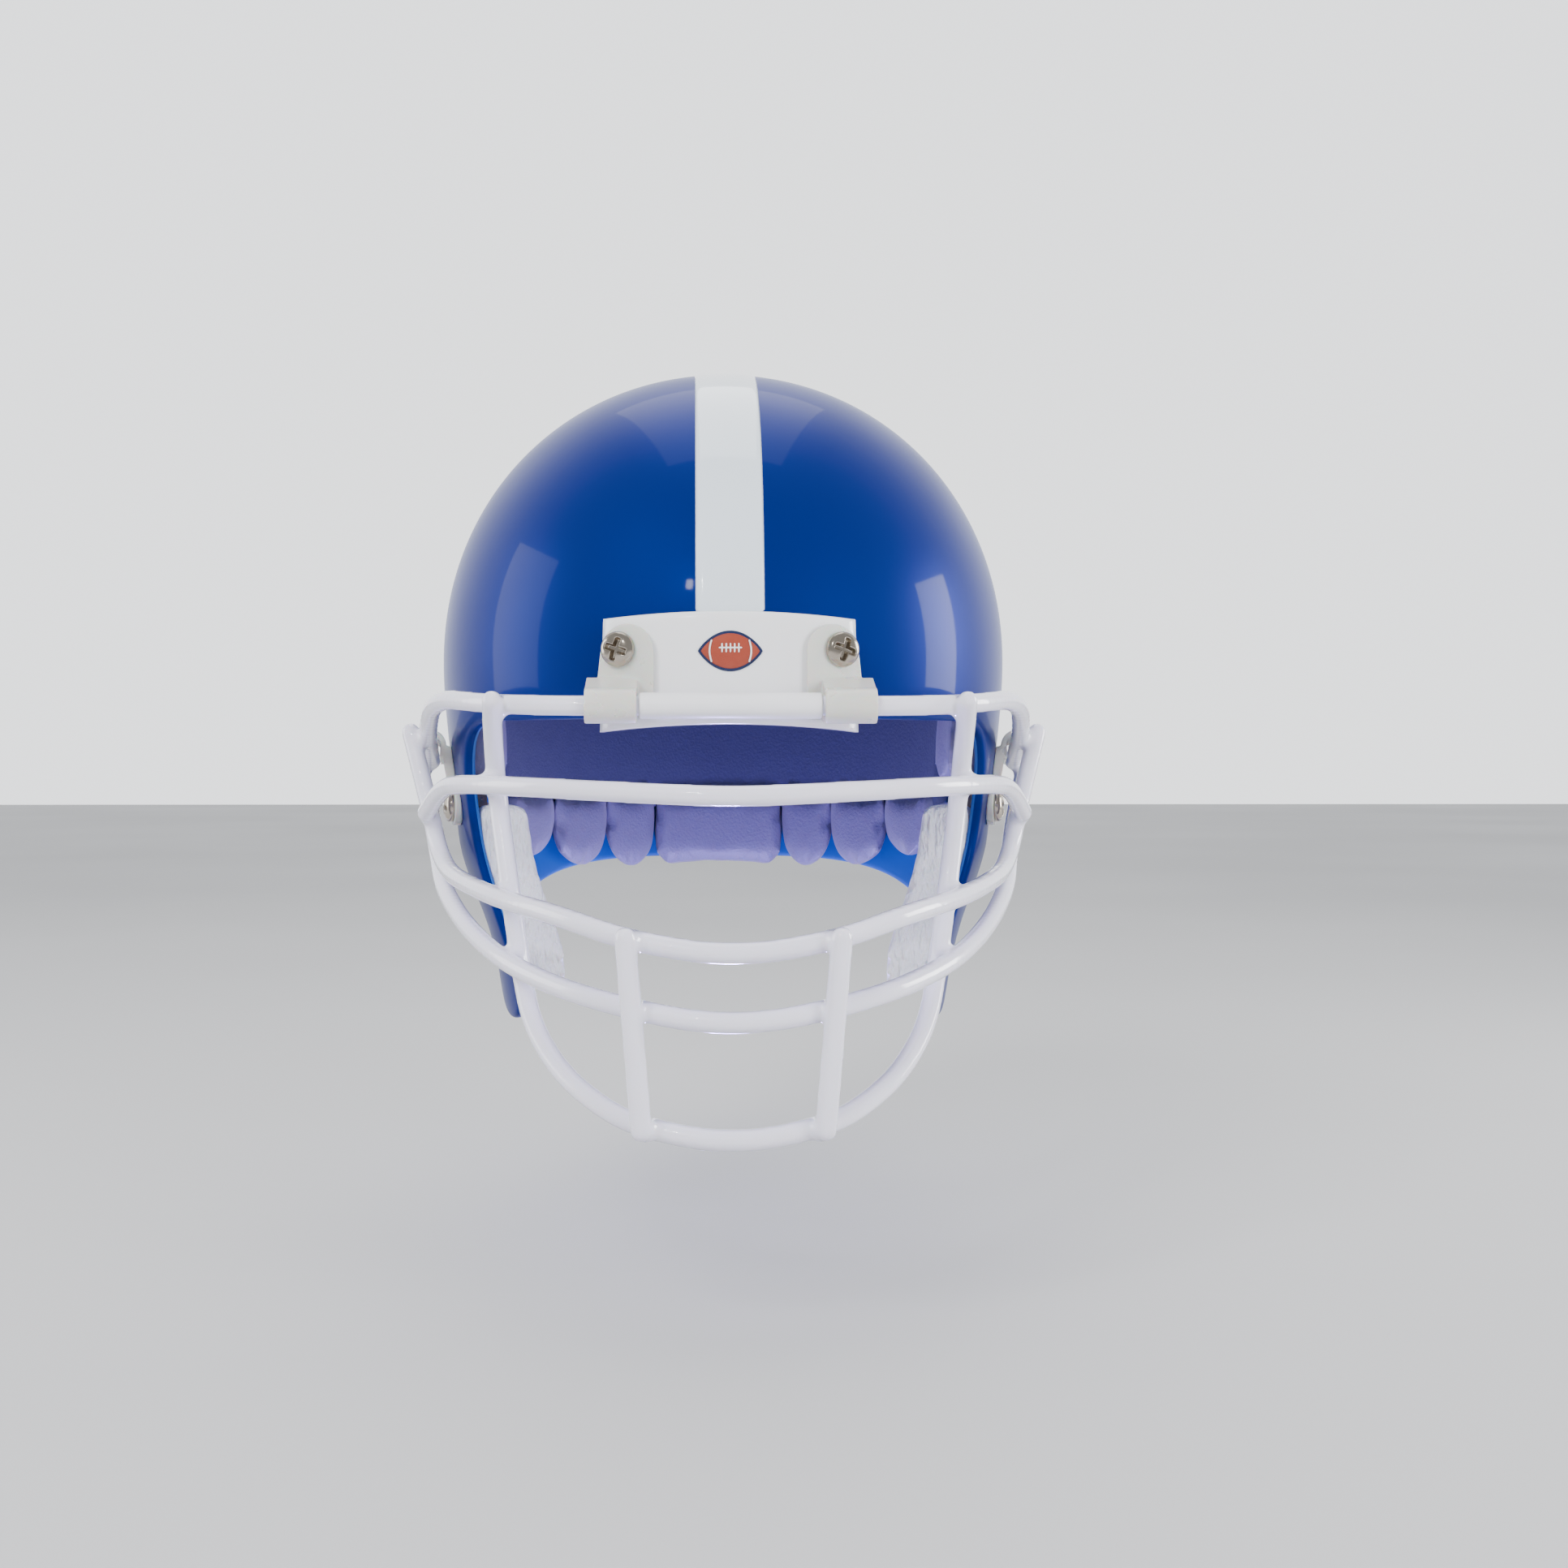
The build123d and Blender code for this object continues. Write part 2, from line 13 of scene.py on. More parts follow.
import bmesh
import bpy
import numpy as np
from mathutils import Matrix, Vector


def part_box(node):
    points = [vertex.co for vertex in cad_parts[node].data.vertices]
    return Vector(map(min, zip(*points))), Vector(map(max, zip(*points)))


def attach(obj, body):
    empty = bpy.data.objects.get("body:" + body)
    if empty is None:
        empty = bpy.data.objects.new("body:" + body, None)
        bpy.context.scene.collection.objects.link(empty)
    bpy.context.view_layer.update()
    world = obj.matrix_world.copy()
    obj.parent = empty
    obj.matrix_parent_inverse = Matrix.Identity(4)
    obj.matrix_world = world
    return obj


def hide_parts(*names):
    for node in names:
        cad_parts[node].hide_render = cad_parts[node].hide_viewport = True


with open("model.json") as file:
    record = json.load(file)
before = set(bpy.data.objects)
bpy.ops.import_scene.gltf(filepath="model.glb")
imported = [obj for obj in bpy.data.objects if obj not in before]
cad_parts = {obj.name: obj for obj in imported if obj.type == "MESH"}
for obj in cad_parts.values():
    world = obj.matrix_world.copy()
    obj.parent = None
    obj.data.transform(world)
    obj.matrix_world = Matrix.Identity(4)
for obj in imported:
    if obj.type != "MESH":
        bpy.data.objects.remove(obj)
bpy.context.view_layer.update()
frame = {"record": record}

LOG = logging.getLogger("helmet")
MM = 0.001  # metres in a millimetre


# --- Mesh making ---


def node_box(node: str) -> tuple[np.ndarray, np.ndarray]:
    """Lowest and highest corner of a CAD node at rest, in millimetres.

    Args:
        node: the CAD node's name.

    Returns:
        Two arrays of x, y and z.
    """
    low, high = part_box(node)
    return np.array(low) / MM, np.array(high) / MM


def quads(rows: int, columns: int, wrap: bool) -> np.ndarray:
    """Quads of a grid whose vertices are numbered row by row.

    Args:
        rows: vertices down the grid.
        columns: vertices across it.
        wrap: whether the last column joins the first.

    Returns:
        An array of vertex numbers, four to a face.
    """
    across = columns if wrap else columns - 1
    row, column = np.meshgrid(np.arange(rows - 1), np.arange(across), indexing="ij")
    following = (column + 1) % columns
    corners = (row * columns + column, row * columns + following,
               (row + 1) * columns + following, (row + 1) * columns + column)
    return np.stack(corners, axis=-1).reshape(-1, 4)


def make_object(name: str, points: np.ndarray, faces: np.ndarray | list, finish: bpy.types.Material,
                weld: float = 1e-6) -> bpy.types.Object:
    """A closed smooth piece from points in millimetres, with doubles merged and faces turned outwards.

    Args:
        name: the piece's name.
        points: rows of x, y and z in millimetres, in the row frame.
        faces: vertex numbers of each face.
        finish: the piece's material.
        weld: distance in metres under which vertices are merged.

    Returns:
        The new object, linked to the scene.
    """
    mesh = bpy.data.meshes.new(name)
    mesh.from_pydata((points * MM).tolist(), [], [list(map(int, face)) for face in faces])
    work = bmesh.new()
    work.from_mesh(mesh)
    bmesh.ops.remove_doubles(work, verts=work.verts, dist=weld)
    bmesh.ops.dissolve_degenerate(work, edges=work.edges, dist=weld)
    bmesh.ops.recalc_face_normals(work, faces=work.faces)
    work.to_mesh(mesh)
    work.free()
    mesh.shade_smooth()
    mesh.materials.append(finish)
    return link(name, mesh)


def join_parts(parts: list[tuple[np.ndarray, np.ndarray]]) -> tuple[np.ndarray, np.ndarray]:
    """Several meshes as one list of points and one of faces.

    Args:
        parts: points and faces of each mesh.

    Returns:
        All points, and all faces renumbered.
    """
    starts = np.cumsum([0] + [len(points) for points, _ in parts[:-1]])
    points = np.vstack([points for points, _ in parts])
    faces = np.vstack([faces + start for start, (_, faces) in zip(starts, parts)])
    return points, faces


def add_modifier(piece: bpy.types.Object, kind: str, **settings: object) -> bpy.types.Modifier:
    """Adds a modifier to a piece.

    Args:
        piece: the object.
        kind: Blender's modifier type.
        settings: the modifier's own values.

    Returns:
        The modifier.
    """
    modifier = piece.modifiers.new(kind.lower(), kind)
    for key, value in settings.items():
        setattr(modifier, key, value)
    return modifier


def bake_modifiers(piece: bpy.types.Object) -> None:
    """Replaces a piece's mesh by what its modifiers make of it."""
    graph = bpy.context.evaluated_depsgraph_get()
    graph.update()
    baked = bpy.data.meshes.new_from_object(piece.evaluated_get(graph), depsgraph=graph)
    old = piece.data
    piece.modifiers.clear()
    piece.data = baked
    baked.name = piece.name
    bpy.data.meshes.remove(old)


def link(name: str, data: bpy.types.ID) -> bpy.types.Object:
    """A new object in the scene that holds a mesh, a lamp or a camera."""
    piece = bpy.data.objects.new(name, data)
    bpy.context.collection.objects.link(piece)
    return piece


def soften(piece: bpy.types.Object, grain: float, passes: int) -> None:
    """Remeshes a piece finely and eases its edges.

    Args:
        piece: the object, whose mesh is replaced.
        grain: voxel size in millimetres.
        passes: smoothing passes.
    """
    add_modifier(piece, "REMESH", mode="VOXEL", voxel_size=grain * MM, use_smooth_shade=True)
    add_modifier(piece, "SMOOTH", factor=0.5, iterations=passes)
    bake_modifiers(piece)


def enlist(piece: bpy.types.Object, body: str, slot: str, *nodes: str) -> None:
    """Hangs a piece on the body that carries it, hides the CAD nodes it stands for and logs its faces."""
    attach(piece, body)
    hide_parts(*nodes)
    LOG.info("%s: %d faces", piece.name, len(piece.data.polygons))


def vertex_array(mesh: bpy.types.Mesh) -> np.ndarray:
    """A mesh's vertices as rows of x, y and z."""
    flat = np.empty(len(mesh.vertices) * 3)
    mesh.vertices.foreach_get("co", flat)
    return flat.reshape(-1, 3)


def set_vertices(mesh: bpy.types.Mesh, points: np.ndarray) -> None:
    """Writes rows of x, y and z back into a mesh."""
    mesh.vertices.foreach_set("co", points.astype(np.float32).ravel())
    mesh.update()


# --- Finishes ---


def set_inputs(node: bpy.types.Node, values: dict[str, object]) -> None:
    """Sets a shader node's inputs by name."""
    for name, value in values.items():
        node.inputs[name].default_value = value


class Pattern(Enum):
    """Procedural patterns that a finish's bump and roughness can follow."""

    NOISE = "ShaderNodeTexNoise"
    CELLS = "ShaderNodeTexVoronoi"


@dataclass(frozen=True)
class Grain:
    """One layer of fine relief on a finish.

    The height is a procedural pattern at `scale` cycles a metre, stretched by `stretch`.
    """

    pattern: Pattern
    scale: float
    depth: float
    strength: float = 1.0
    stretch: tuple[float, float, float] = (1.0, 1.0, 1.0)
    detail: float = 3.0


@dataclass(frozen=True)
class Finish:
    """A dielectric or metal surface: its colour with a little variation, gloss, coat and grain."""

    name: str
    colour: tuple[float, float, float]
    second: tuple[float, float, float] | None = None
    mottle: float = 60.0
    roughness: tuple[float, float] = (0.2, 0.3)
    metallic: float = 0.0
    coat: float = 0.0
    coat_roughness: float = 0.05
    coat_ior: float = 1.5
    sheen: float = 0.0
    transmission: float = 0.0
    subsurface: float = 0.0
    subsurface_scale: float = 0.002
    specular: float = 0.5
    tint: tuple[float, float, float] = (1.0, 1.0, 1.0)  # of the reflections under the coat
    grains: tuple[Grain, ...] = field(default=())

    def build(self) -> bpy.types.Material:
        """Makes the material.

        Returns:
            A node material that reads Object coordinates only.
        """
        material = bpy.data.materials.new(self.name)
        material.use_nodes = True
        tree = material.node_tree
        tree.nodes.clear()
        output = tree.nodes.new("ShaderNodeOutputMaterial")
        shader = tree.nodes.new("ShaderNodeBsdfPrincipled")
        tree.links.new(shader.outputs["BSDF"], output.inputs["Surface"])
        where = tree.nodes.new("ShaderNodeTexCoord").outputs["Object"]

        mottle = tree.nodes.new("ShaderNodeTexNoise")
        set_inputs(mottle, {"Scale": self.mottle, "Detail": 4.0})
        tree.links.new(where, mottle.inputs["Vector"])
        mix = tree.nodes.new("ShaderNodeMix")
        mix.data_type = "RGBA"
        second = self.second or tuple(channel * 0.93 for channel in self.colour)
        set_inputs(mix, {"A": (*self.colour, 1.0), "B": (*second, 1.0)})
        tree.links.new(mottle.outputs["Fac"], mix.inputs["Factor"])
        tree.links.new(mix.outputs["Result"], shader.inputs["Base Color"])

        spread = tree.nodes.new("ShaderNodeMapRange")
        set_inputs(spread, {"From Min": 0.3, "From Max": 0.7,
                            "To Min": self.roughness[0], "To Max": self.roughness[1]})
        tree.links.new(mottle.outputs["Fac"], spread.inputs["Value"])
        tree.links.new(spread.outputs["Result"], shader.inputs["Roughness"])

        set_inputs(shader, {
            "Metallic": self.metallic, "Coat Weight": self.coat, "Coat Roughness": self.coat_roughness,
            "Coat IOR": self.coat_ior, "Sheen Weight": self.sheen, "Transmission Weight": self.transmission,
            "Subsurface Weight": self.subsurface, "Subsurface Scale": self.subsurface_scale,
            "Specular IOR Level": self.specular, "Specular Tint": (*self.tint, 1.0)})
        self.add_grains(tree, where, shader)
        return material

    def add_grains(self, tree: bpy.types.NodeTree, where: bpy.types.NodeSocket,
                   shader: bpy.types.Node) -> None:
        """Chains one bump node for each grain into the shader's normal.

        Args:
            tree: the material's node tree.
            where: the coordinates that the patterns read.
            shader: the surface shader.
        """
        below = None
        for grain in self.grains:
            mapping = tree.nodes.new("ShaderNodeMapping")
            mapping.inputs["Scale"].default_value = grain.stretch
            tree.links.new(where, mapping.inputs["Vector"])
            pattern = tree.nodes.new(grain.pattern.value)
            set_inputs(pattern, {"Scale": grain.scale, "Detail": grain.detail})
            tree.links.new(mapping.outputs["Vector"], pattern.inputs["Vector"])
            bump = tree.nodes.new("ShaderNodeBump")
            set_inputs(bump, {"Distance": grain.depth, "Strength": grain.strength})
            height = "Fac" if grain.pattern is Pattern.NOISE else "Distance"
            tree.links.new(pattern.outputs[height], bump.inputs["Height"])
            if below is not None:
                tree.links.new(below.outputs["Normal"], bump.inputs["Normal"])
            below = bump
        if below is not None:
            tree.links.new(below.outputs["Normal"], shader.inputs["Normal"])


class Finishes:
    """Every material of the helmet, each built once."""

    def __init__(self) -> None:
        """Builds the materials."""
        peel = Grain(Pattern.NOISE, 350.0, 0.00004, 0.25)
        flake = Grain(Pattern.NOISE, 9000.0, 0.000004, 0.5, detail=1.0)
        leather = Grain(Pattern.CELLS, 1500.0, 0.00012, 0.5)
        wrinkle = Grain(Pattern.NOISE, 850.0, 0.0016, 1.0, (1.0, 1.0, 0.3))
        self.shell = Finish("shell_blue", (0.0, 0.016, 0.17), (0.0, 0.013, 0.145), 30.0, (0.34, 0.42),
                            metallic=0.35, coat=0.3, coat_roughness=0.06, coat_ior=1.3, specular=0.2,
                            tint=(0.10, 0.24, 0.70),
                            grains=(flake, peel)).build()
        self.inner = Finish("shell_inside_blue", (0.015, 0.11, 0.42), (0.012, 0.09, 0.37), 80.0,
                            (0.4, 0.55), specular=0.3, grains=(peel,)).build()
        self.stripe = Finish("stripe_white", (0.74, 0.82, 0.90), None, 40.0, (0.12, 0.2), coat=1.0,
                             coat_roughness=0.04, grains=(peel,)).build()
        self.bumper = Finish("bumper_white", (0.88, 0.88, 0.91), None, 120.0, (0.16, 0.26), coat=0.6,
                             subsurface=0.1, grains=(peel,)).build()
        # white dip, with a lavender tint painted in as the violet light from below
        self.wire = Finish("wire_dip_and_violet_light", (0.80, 0.79, 0.90), (0.77, 0.76, 0.88), 90.0, (0.16, 0.26),
                           coat=1.0, coat_roughness=0.06, subsurface=0.08,
                           grains=(Grain(Pattern.NOISE, 420.0, 0.00008, 0.35),)).build()
        self.sleeve = Finish("sleeve_white", (0.86, 0.86, 0.90), None, 150.0, (0.3, 0.42),
                             grains=(peel,)).build()
        self.clip = Finish("clip_moulded", (0.88, 0.87, 0.82), (0.84, 0.83, 0.78), 200.0, (0.25, 0.38),
                           transmission=0.35, subsurface=0.5, coat=0.3,
                           grains=(Grain(Pattern.NOISE, 900.0, 0.00005, 0.4),)).build()
        # nickel tone with brown painted into both colours as painted reflection on the heads
        self.nickel = Finish("screw_nickel_brown_reflection", (0.50, 0.46, 0.40), (0.40, 0.34, 0.27), 900.0, (0.14, 0.26),
                             metallic=1.0, grains=(Grain(Pattern.NOISE, 2600.0, 0.00001, 0.3),)).build()
        self.brass = Finish("nut_brass", (0.72, 0.52, 0.24), (0.60, 0.42, 0.18), 700.0, (0.25, 0.4),
                            metallic=1.0, grains=(Grain(Pattern.NOISE, 3000.0, 0.00002, 0.4),)).build()
        self.liner = Finish("liner_vinyl", (0.19, 0.175, 0.31), (0.165, 0.15, 0.275), 120.0, (0.42, 0.58),
                            sheen=0.15, subsurface=0.15, grains=(leather,)).build()
        # painted shade: the rear panel is the liner's vinyl in a much darker copy, standing in for the
        # shadow under the shell
        self.panel = Finish("panel_vinyl_painted_shade", (0.07, 0.072, 0.155), (0.058, 0.06, 0.135), 120.0, (0.5, 0.65),
                            sheen=0.1, specular=0.3, grains=(leather,)).build()
        self.jaw = Finish("jaw_vinyl", (0.82, 0.83, 0.88), (0.72, 0.73, 0.80), 500.0, (0.4, 0.55),
                          sheen=0.15, subsurface=0.15, grains=(leather, wrinkle)).build()
        self.cup = Finish("cup_black", (0.03, 0.03, 0.035), None, 300.0, (0.4, 0.55),
                          grains=(Grain(Pattern.NOISE, 2200.0, 0.00003, 0.5),)).build()
        self.magnet = Finish("magnet_nickel", (0.72, 0.72, 0.73), (0.62, 0.62, 0.64), 400.0,
                             (0.12, 0.25), metallic=1.0, grains=(peel,)).build()
        self.ball = Finish("badge_leather", (0.32, 0.055, 0.03), (0.25, 0.04, 0.022), 900.0,
                           (0.35, 0.5), grains=(Grain(Pattern.CELLS, 5200.0, 0.00004, 0.5),)).build()
        self.ink = Finish("badge_navy", (0.012, 0.02, 0.07), None, 300.0, (0.25, 0.35)).build()
        self.lace = Finish("badge_white", (0.86, 0.86, 0.86), None, 600.0, (0.35, 0.5)).build()


# --- Head form ---


def smooth_step(share: np.ndarray) -> np.ndarray:
    """Rises from 0 to 1 with level ends: 3 t^2 - 2 t^3, with t the share kept within 0 and 1."""
    t = np.clip(share, 0, 1)
    return t * t * (3 - 2 * t)


@dataclass
class HeadForm:
    """The shell's outer shape and its offsets: a turned body that is deeper to the back.

    Above the widest level the half width follows a superellipse of the height; below it a smooth
    cubic through the skirt's stations. Plan sections are half ellipses, front and back.
    """

    dome_power: float = 2.06
    widest_share: float = 77.8 / 133.3  # of the crown's height
    front_share: float = 61.8 / 127.8  # of the shell's length
    skirt_z: tuple[float, ...] = (0.0, 10.0, 38.0, 60.0)
    skirt_width: tuple[float, ...] = (44.4, 46.3, 50.6, 52.9)
    skirt_foot_slope: float = 0.2
    squeeze: float = 0.088  # most that the flaps are drawn in, as a share of x
    squeeze_start: float = 45.0  # height under which they are
    squeeze_run: float = 24.0  # over which it grows, both downwards and to the back
    squeeze_front: float = 0.3  # its share at the flaps' front edge
    flap_front_y: float = -34.0  # that edge, about the crown's axis

    def __post_init__(self) -> None:
        """Reads the shell's sizes from the frame and fits the skirt's cubic."""
        low, high = node_box("shell")
        self.half_width = float(high[0])
        self.top = float(high[2])
        self.front = (high[1] - low[1]) * self.front_share
        self.back = (high[1] - low[1]) - self.front
        self.crown_y = low[1] + self.front
        self.widest = self.top * self.widest_share
        self.height = self.top - self.widest
        self.stations = np.array([*self.skirt_z, self.widest])
        self.widths = np.array([*self.skirt_width, self.half_width])
        self.slopes = self.fit_slopes()

    def fit_slopes(self) -> np.ndarray:
        """Slopes of a clamped cubic through the skirt's stations, upright at the widest level.

        Returns:
            The slope at each station, from the equations that make the curvature continuous.
        """
        gaps = np.diff(self.stations)
        rises = np.diff(self.widths) / gaps
        count = len(self.stations)
        matrix = np.eye(count)
        right = np.zeros(count)
        right[0] = self.skirt_foot_slope
        inner = np.arange(1, count - 1)
        matrix[inner, inner - 1] = 1 / gaps[:-1]
        matrix[inner, inner] = 2 * (1 / gaps[:-1] + 1 / gaps[1:])
        matrix[inner, inner + 1] = 1 / gaps[1:]
        right[1:-1] = 3 * (rises[:-1] / gaps[:-1] + rises[1:] / gaps[1:])
        return np.linalg.solve(matrix, right)

    def skirt_radius(self, z: np.ndarray) -> np.ndarray:
        """Half width below the widest level, by Hermite's cubic between stations."""
        span = np.clip(np.searchsorted(self.stations, z, side="right") - 1, 0, len(self.stations) - 2)
        gap = self.stations[span + 1] - self.stations[span]
        t = np.clip((z - self.stations[span]) / gap, 0, 1)
        return ((2 * t**3 - 3 * t**2 + 1) * self.widths[span]
                + (t**3 - 2 * t**2 + t) * gap * self.slopes[span]
                + (3 * t**2 - 2 * t**3) * self.widths[span + 1]
                + (t**3 - t**2) * gap * self.slopes[span + 1])

    def half_breadth(self, z: np.ndarray, margin: np.ndarray | float = 0.0) -> np.ndarray:
        """Half width of the form grown by a margin, at a height.

        Args:
            z: heights.
            margin: growth, which may differ from point to point.

        Returns:
            Half widths.
        """
        widen = (self.half_width + margin) / self.half_width
        lift = (self.height + margin) / self.height
        share = np.clip((z - self.widest) / (self.height * lift), 0, 1)
        dome = self.half_width * (1 - share**self.dome_power) ** (1 / self.dome_power)
        return widen * np.where(z >= self.widest, dome, self.skirt_radius(z))

    def height_at(self, radius: np.ndarray, margin: np.ndarray | float = 0.0) -> np.ndarray:
        """Height of the dome over a plan radius, the inverse of half_breadth above the widest level."""
        share = np.clip(radius / (self.half_width + margin), 0, 1)
        rise = (1 - share**self.dome_power) ** (1 / self.dome_power)
        return self.widest + (self.height + margin) * rise

    def depth_ratio(self, back: np.ndarray, margin: np.ndarray | float = 0.0) -> np.ndarray:
        """How much deeper than wide the form is, behind the crown's axis where back is true."""
        depth = np.where(back, self.back, self.front)
        return (depth + margin) / (self.half_width + margin)

    def from_turn(self, turn: np.ndarray, z: np.ndarray, margin: np.ndarray | float = 0.0) -> np.ndarray:
        """Points on the form by plan angle and height.

        Args:
            turn: plan angle from +X towards the back, in radians.
            z: height.
            margin: growth of the form.

        Returns:
            Points in the row frame, x, y and z last.
        """
        breadth = self.half_breadth(z, margin)
        ratio = self.depth_ratio(np.sin(turn) > 0, margin)
        return np.stack(np.broadcast_arrays(breadth * np.cos(turn),
                                            self.crown_y + ratio * breadth * np.sin(turn), z), axis=-1)

    def from_front(self, x: np.ndarray, z: np.ndarray, margin: np.ndarray | float = 0.0) -> np.ndarray:
        """Points on the form's front half by x and height.

        Args:
            x: distance from the middle.
            z: height.
            margin: growth of the form.

        Returns:
            Points in the row frame, x, y and z last.
        """
        reach = np.sqrt(np.maximum(self.half_breadth(z, margin) ** 2 - np.square(x), 0))
        ratio = self.depth_ratio(np.array(False), margin)
        return np.stack(np.broadcast_arrays(x, self.crown_y - ratio * reach, z), axis=-1)

    def squeeze_flanks(self, mesh: bpy.types.Mesh) -> None:
        """Draws a mesh's lower sides in towards the middle, as the jaw flaps are flatter than the form.

        With S the smooth step, x is scaled by 1 - squeeze S((start - z) / run) F, where F grows from
        its front share to 1 over the same run behind the flaps' front edge.

        Args:
            mesh: a mesh in world place, which is changed.
        """
        points = vertex_array(mesh)
        low = smooth_step((self.squeeze_start - points[:, 2] / MM) / self.squeeze_run)
        back = smooth_step((points[:, 1] / MM - self.crown_y - self.flap_front_y) / self.squeeze_run)
        back = self.squeeze_front + (1 - self.squeeze_front) * back
        points[:, 0] *= 1 - self.squeeze * low * back
        set_vertices(mesh, points)


def smooth_route(points: np.ndarray, steps: int) -> np.ndarray:
    """A smooth curve near a list of points: quadratic arcs between the middles of its runs.

    Args:
        points: the route's points.
        steps: samples on each arc.

    Returns:
        Points along the curve, from the first point to the last.
    """
    middles = (points[:-1] + points[1:]) / 2
    t = np.linspace(0, 1, steps, endpoint=False)[:, None, None]
    arcs = (1 - t) ** 2 * middles[:-1] + 2 * t * (1 - t) * points[1:-1] + t**2 * middles[1:]
    arcs = arcs.transpose(1, 0, 2).reshape(-1, points.shape[1])
    return np.vstack([points[:1], arcs, middles[-1:], points[-1:]])


def evenly(curve: np.ndarray, count: int) -> np.ndarray:
    """Samples a curve at equal distances along it.

    Args:
        curve: points along the curve.
        count: how many samples to take, ends included.

    Returns:
        The samples.
    """
    steps = np.linalg.norm(np.diff(curve, axis=0), axis=1)
    along = np.concatenate([[0], np.cumsum(steps)])
    wanted = np.linspace(0, along[-1], count)
    return np.stack([np.interp(wanted, along, curve[:, axis]) for axis in range(curve.shape[1])], axis=1)


@dataclass
class Shell:
    """The shell with its rounded rim and ear holes, and the stripe over it."""

    form: HeadForm
    finishes: Finishes
    wall: float = 2.2
    rim_round: float = 1.1
    half_columns: int = 230
    outer_rows: int = 72
    rim_rows: int = 10
    fan: float = 3.0  # power by which the columns lean towards their foot
    edge: tuple[tuple[float, float, float], ...] = (
        # y, z of the side view's lower edge, and the column's plan angle at the crown in degrees
        (-61.8, 66.0, -90.0), (-54.0, 66.0, -62.0), (-45.0, 66.0, -42.0), (-38.0, 66.1, -30.0),
        (-30.6, 64.6, -18.0), (-26.0, 58.5, -10.0), (-25.8, 50.0, -6.0), (-27.6, 40.0, -3.0),
        (-30.4, 31.0, 0.0), (-32.8, 22.0, 3.0), (-32.6, 15.6, 5.0), (-29.4, 12.4, 7.0),
        (-23.0, 12.4, 11.0), (-12.0, 17.2, 17.0), (2.0, 23.0, 24.0), (15.0, 27.6, 33.0),
        (28.0, 31.5, 43.0), (41.0, 35.0, 54.0), (52.0, 36.8, 66.0), (60.3, 37.2, 80.0),
        (61.45, 37.2, 90.0))
    ear_hole: tuple[float, float, float] = (10.0, 47.5, 6.0)  # y about the crown's axis, z, radius
    stripe_front: float = 0.6205  # share of the crown's height, under the bumper's top edge

    def edge_curve(self) -> tuple[np.ndarray, np.ndarray, np.ndarray]:
        """The rim as plan angle, height and the plan angle its column starts from, front to back."""
        y, z, start = smooth_route(np.array(self.edge), 40).T
        share = y / (self.form.depth_ratio(y > 0) * self.form.half_breadth(z))
        inside = np.abs(share) < 0.9995
        turn = np.concatenate([[-math.pi / 2], np.arcsin(share[inside]), [math.pi / 2]])
        z = np.concatenate([z[:1], z[inside], z[-1:]])
        start = np.concatenate([start[:1], start[inside], start[-1:]])
        curve = np.stack([turn * self.form.half_width, z, start], axis=1)
        curve = evenly(curve, self.half_columns + 1)
        turn, z, start = curve[:, 0] / self.form.half_width, curve[:, 1], curve[:, 2]
        return turn, z, np.radians(start)

    def sheet(self, turn: np.ndarray, z: np.ndarray, start: np.ndarray, margin: float,
              rows: np.ndarray) -> np.ndarray:
        """One face of the wall, from the crown down to the rim.

        A column's climb falls evenly from the crown to its foot, and its plan angle leans from its
        start to its foot by a power of the same share, which keeps columns apart round the cheek.

        Args:
            turn: plan angle of each column's foot.
            z: height of each column's foot.
            start: plan angle of each column at the crown.
            margin: the face's distance from the shell's outer surface.
            rows: shares of the way from the crown to the foot.

        Returns:
            Points by row and column.
        """
        form = self.form
        height = form.height + margin
        foot = np.where(z > form.widest, np.arcsin(np.clip((z - form.widest) / height, 0, 1)),
                        (z - form.widest) / form.half_width)
        climb = (1 - rows[:, None]) * math.pi / 2 + rows[:, None] * foot
        level = np.where(climb > 0, form.widest + height * np.sin(climb),
                         form.widest + climb * form.half_width)
        angle = start + (turn - start) * rows[:, None] ** self.fan
        return form.from_turn(angle, level, margin)

    def rim(self, turn: np.ndarray, z: np.ndarray) -> list[tuple[np.ndarray, np.ndarray, float]]:
        """The rim's rows: the foot line moved inwards, and the depth into the wall, round a half circle."""
        reach = self.form.half_width
        flat = np.stack([turn * reach, z], axis=1)
        along = np.gradient(flat, axis=0)
        along[0], along[-1] = (1, 0), (1, 0)
        along /= np.linalg.norm(along, axis=1)[:, None]
        inwards = np.stack([-along[:, 1], along[:, 0]], axis=1)
        rows = []
        for angle in np.linspace(0, math.pi, self.rim_rows):
            bulge = abs(math.sin(angle)) ** 0.7
            moved = flat + inwards * self.rim_round * (1 - bulge)
            depth = -self.wall / 2 * (1 - math.copysign(abs(math.cos(angle)) ** 0.7, math.cos(angle)))
            rows.append((moved[:, 0] / reach, moved[:, 1], depth))
        return rows

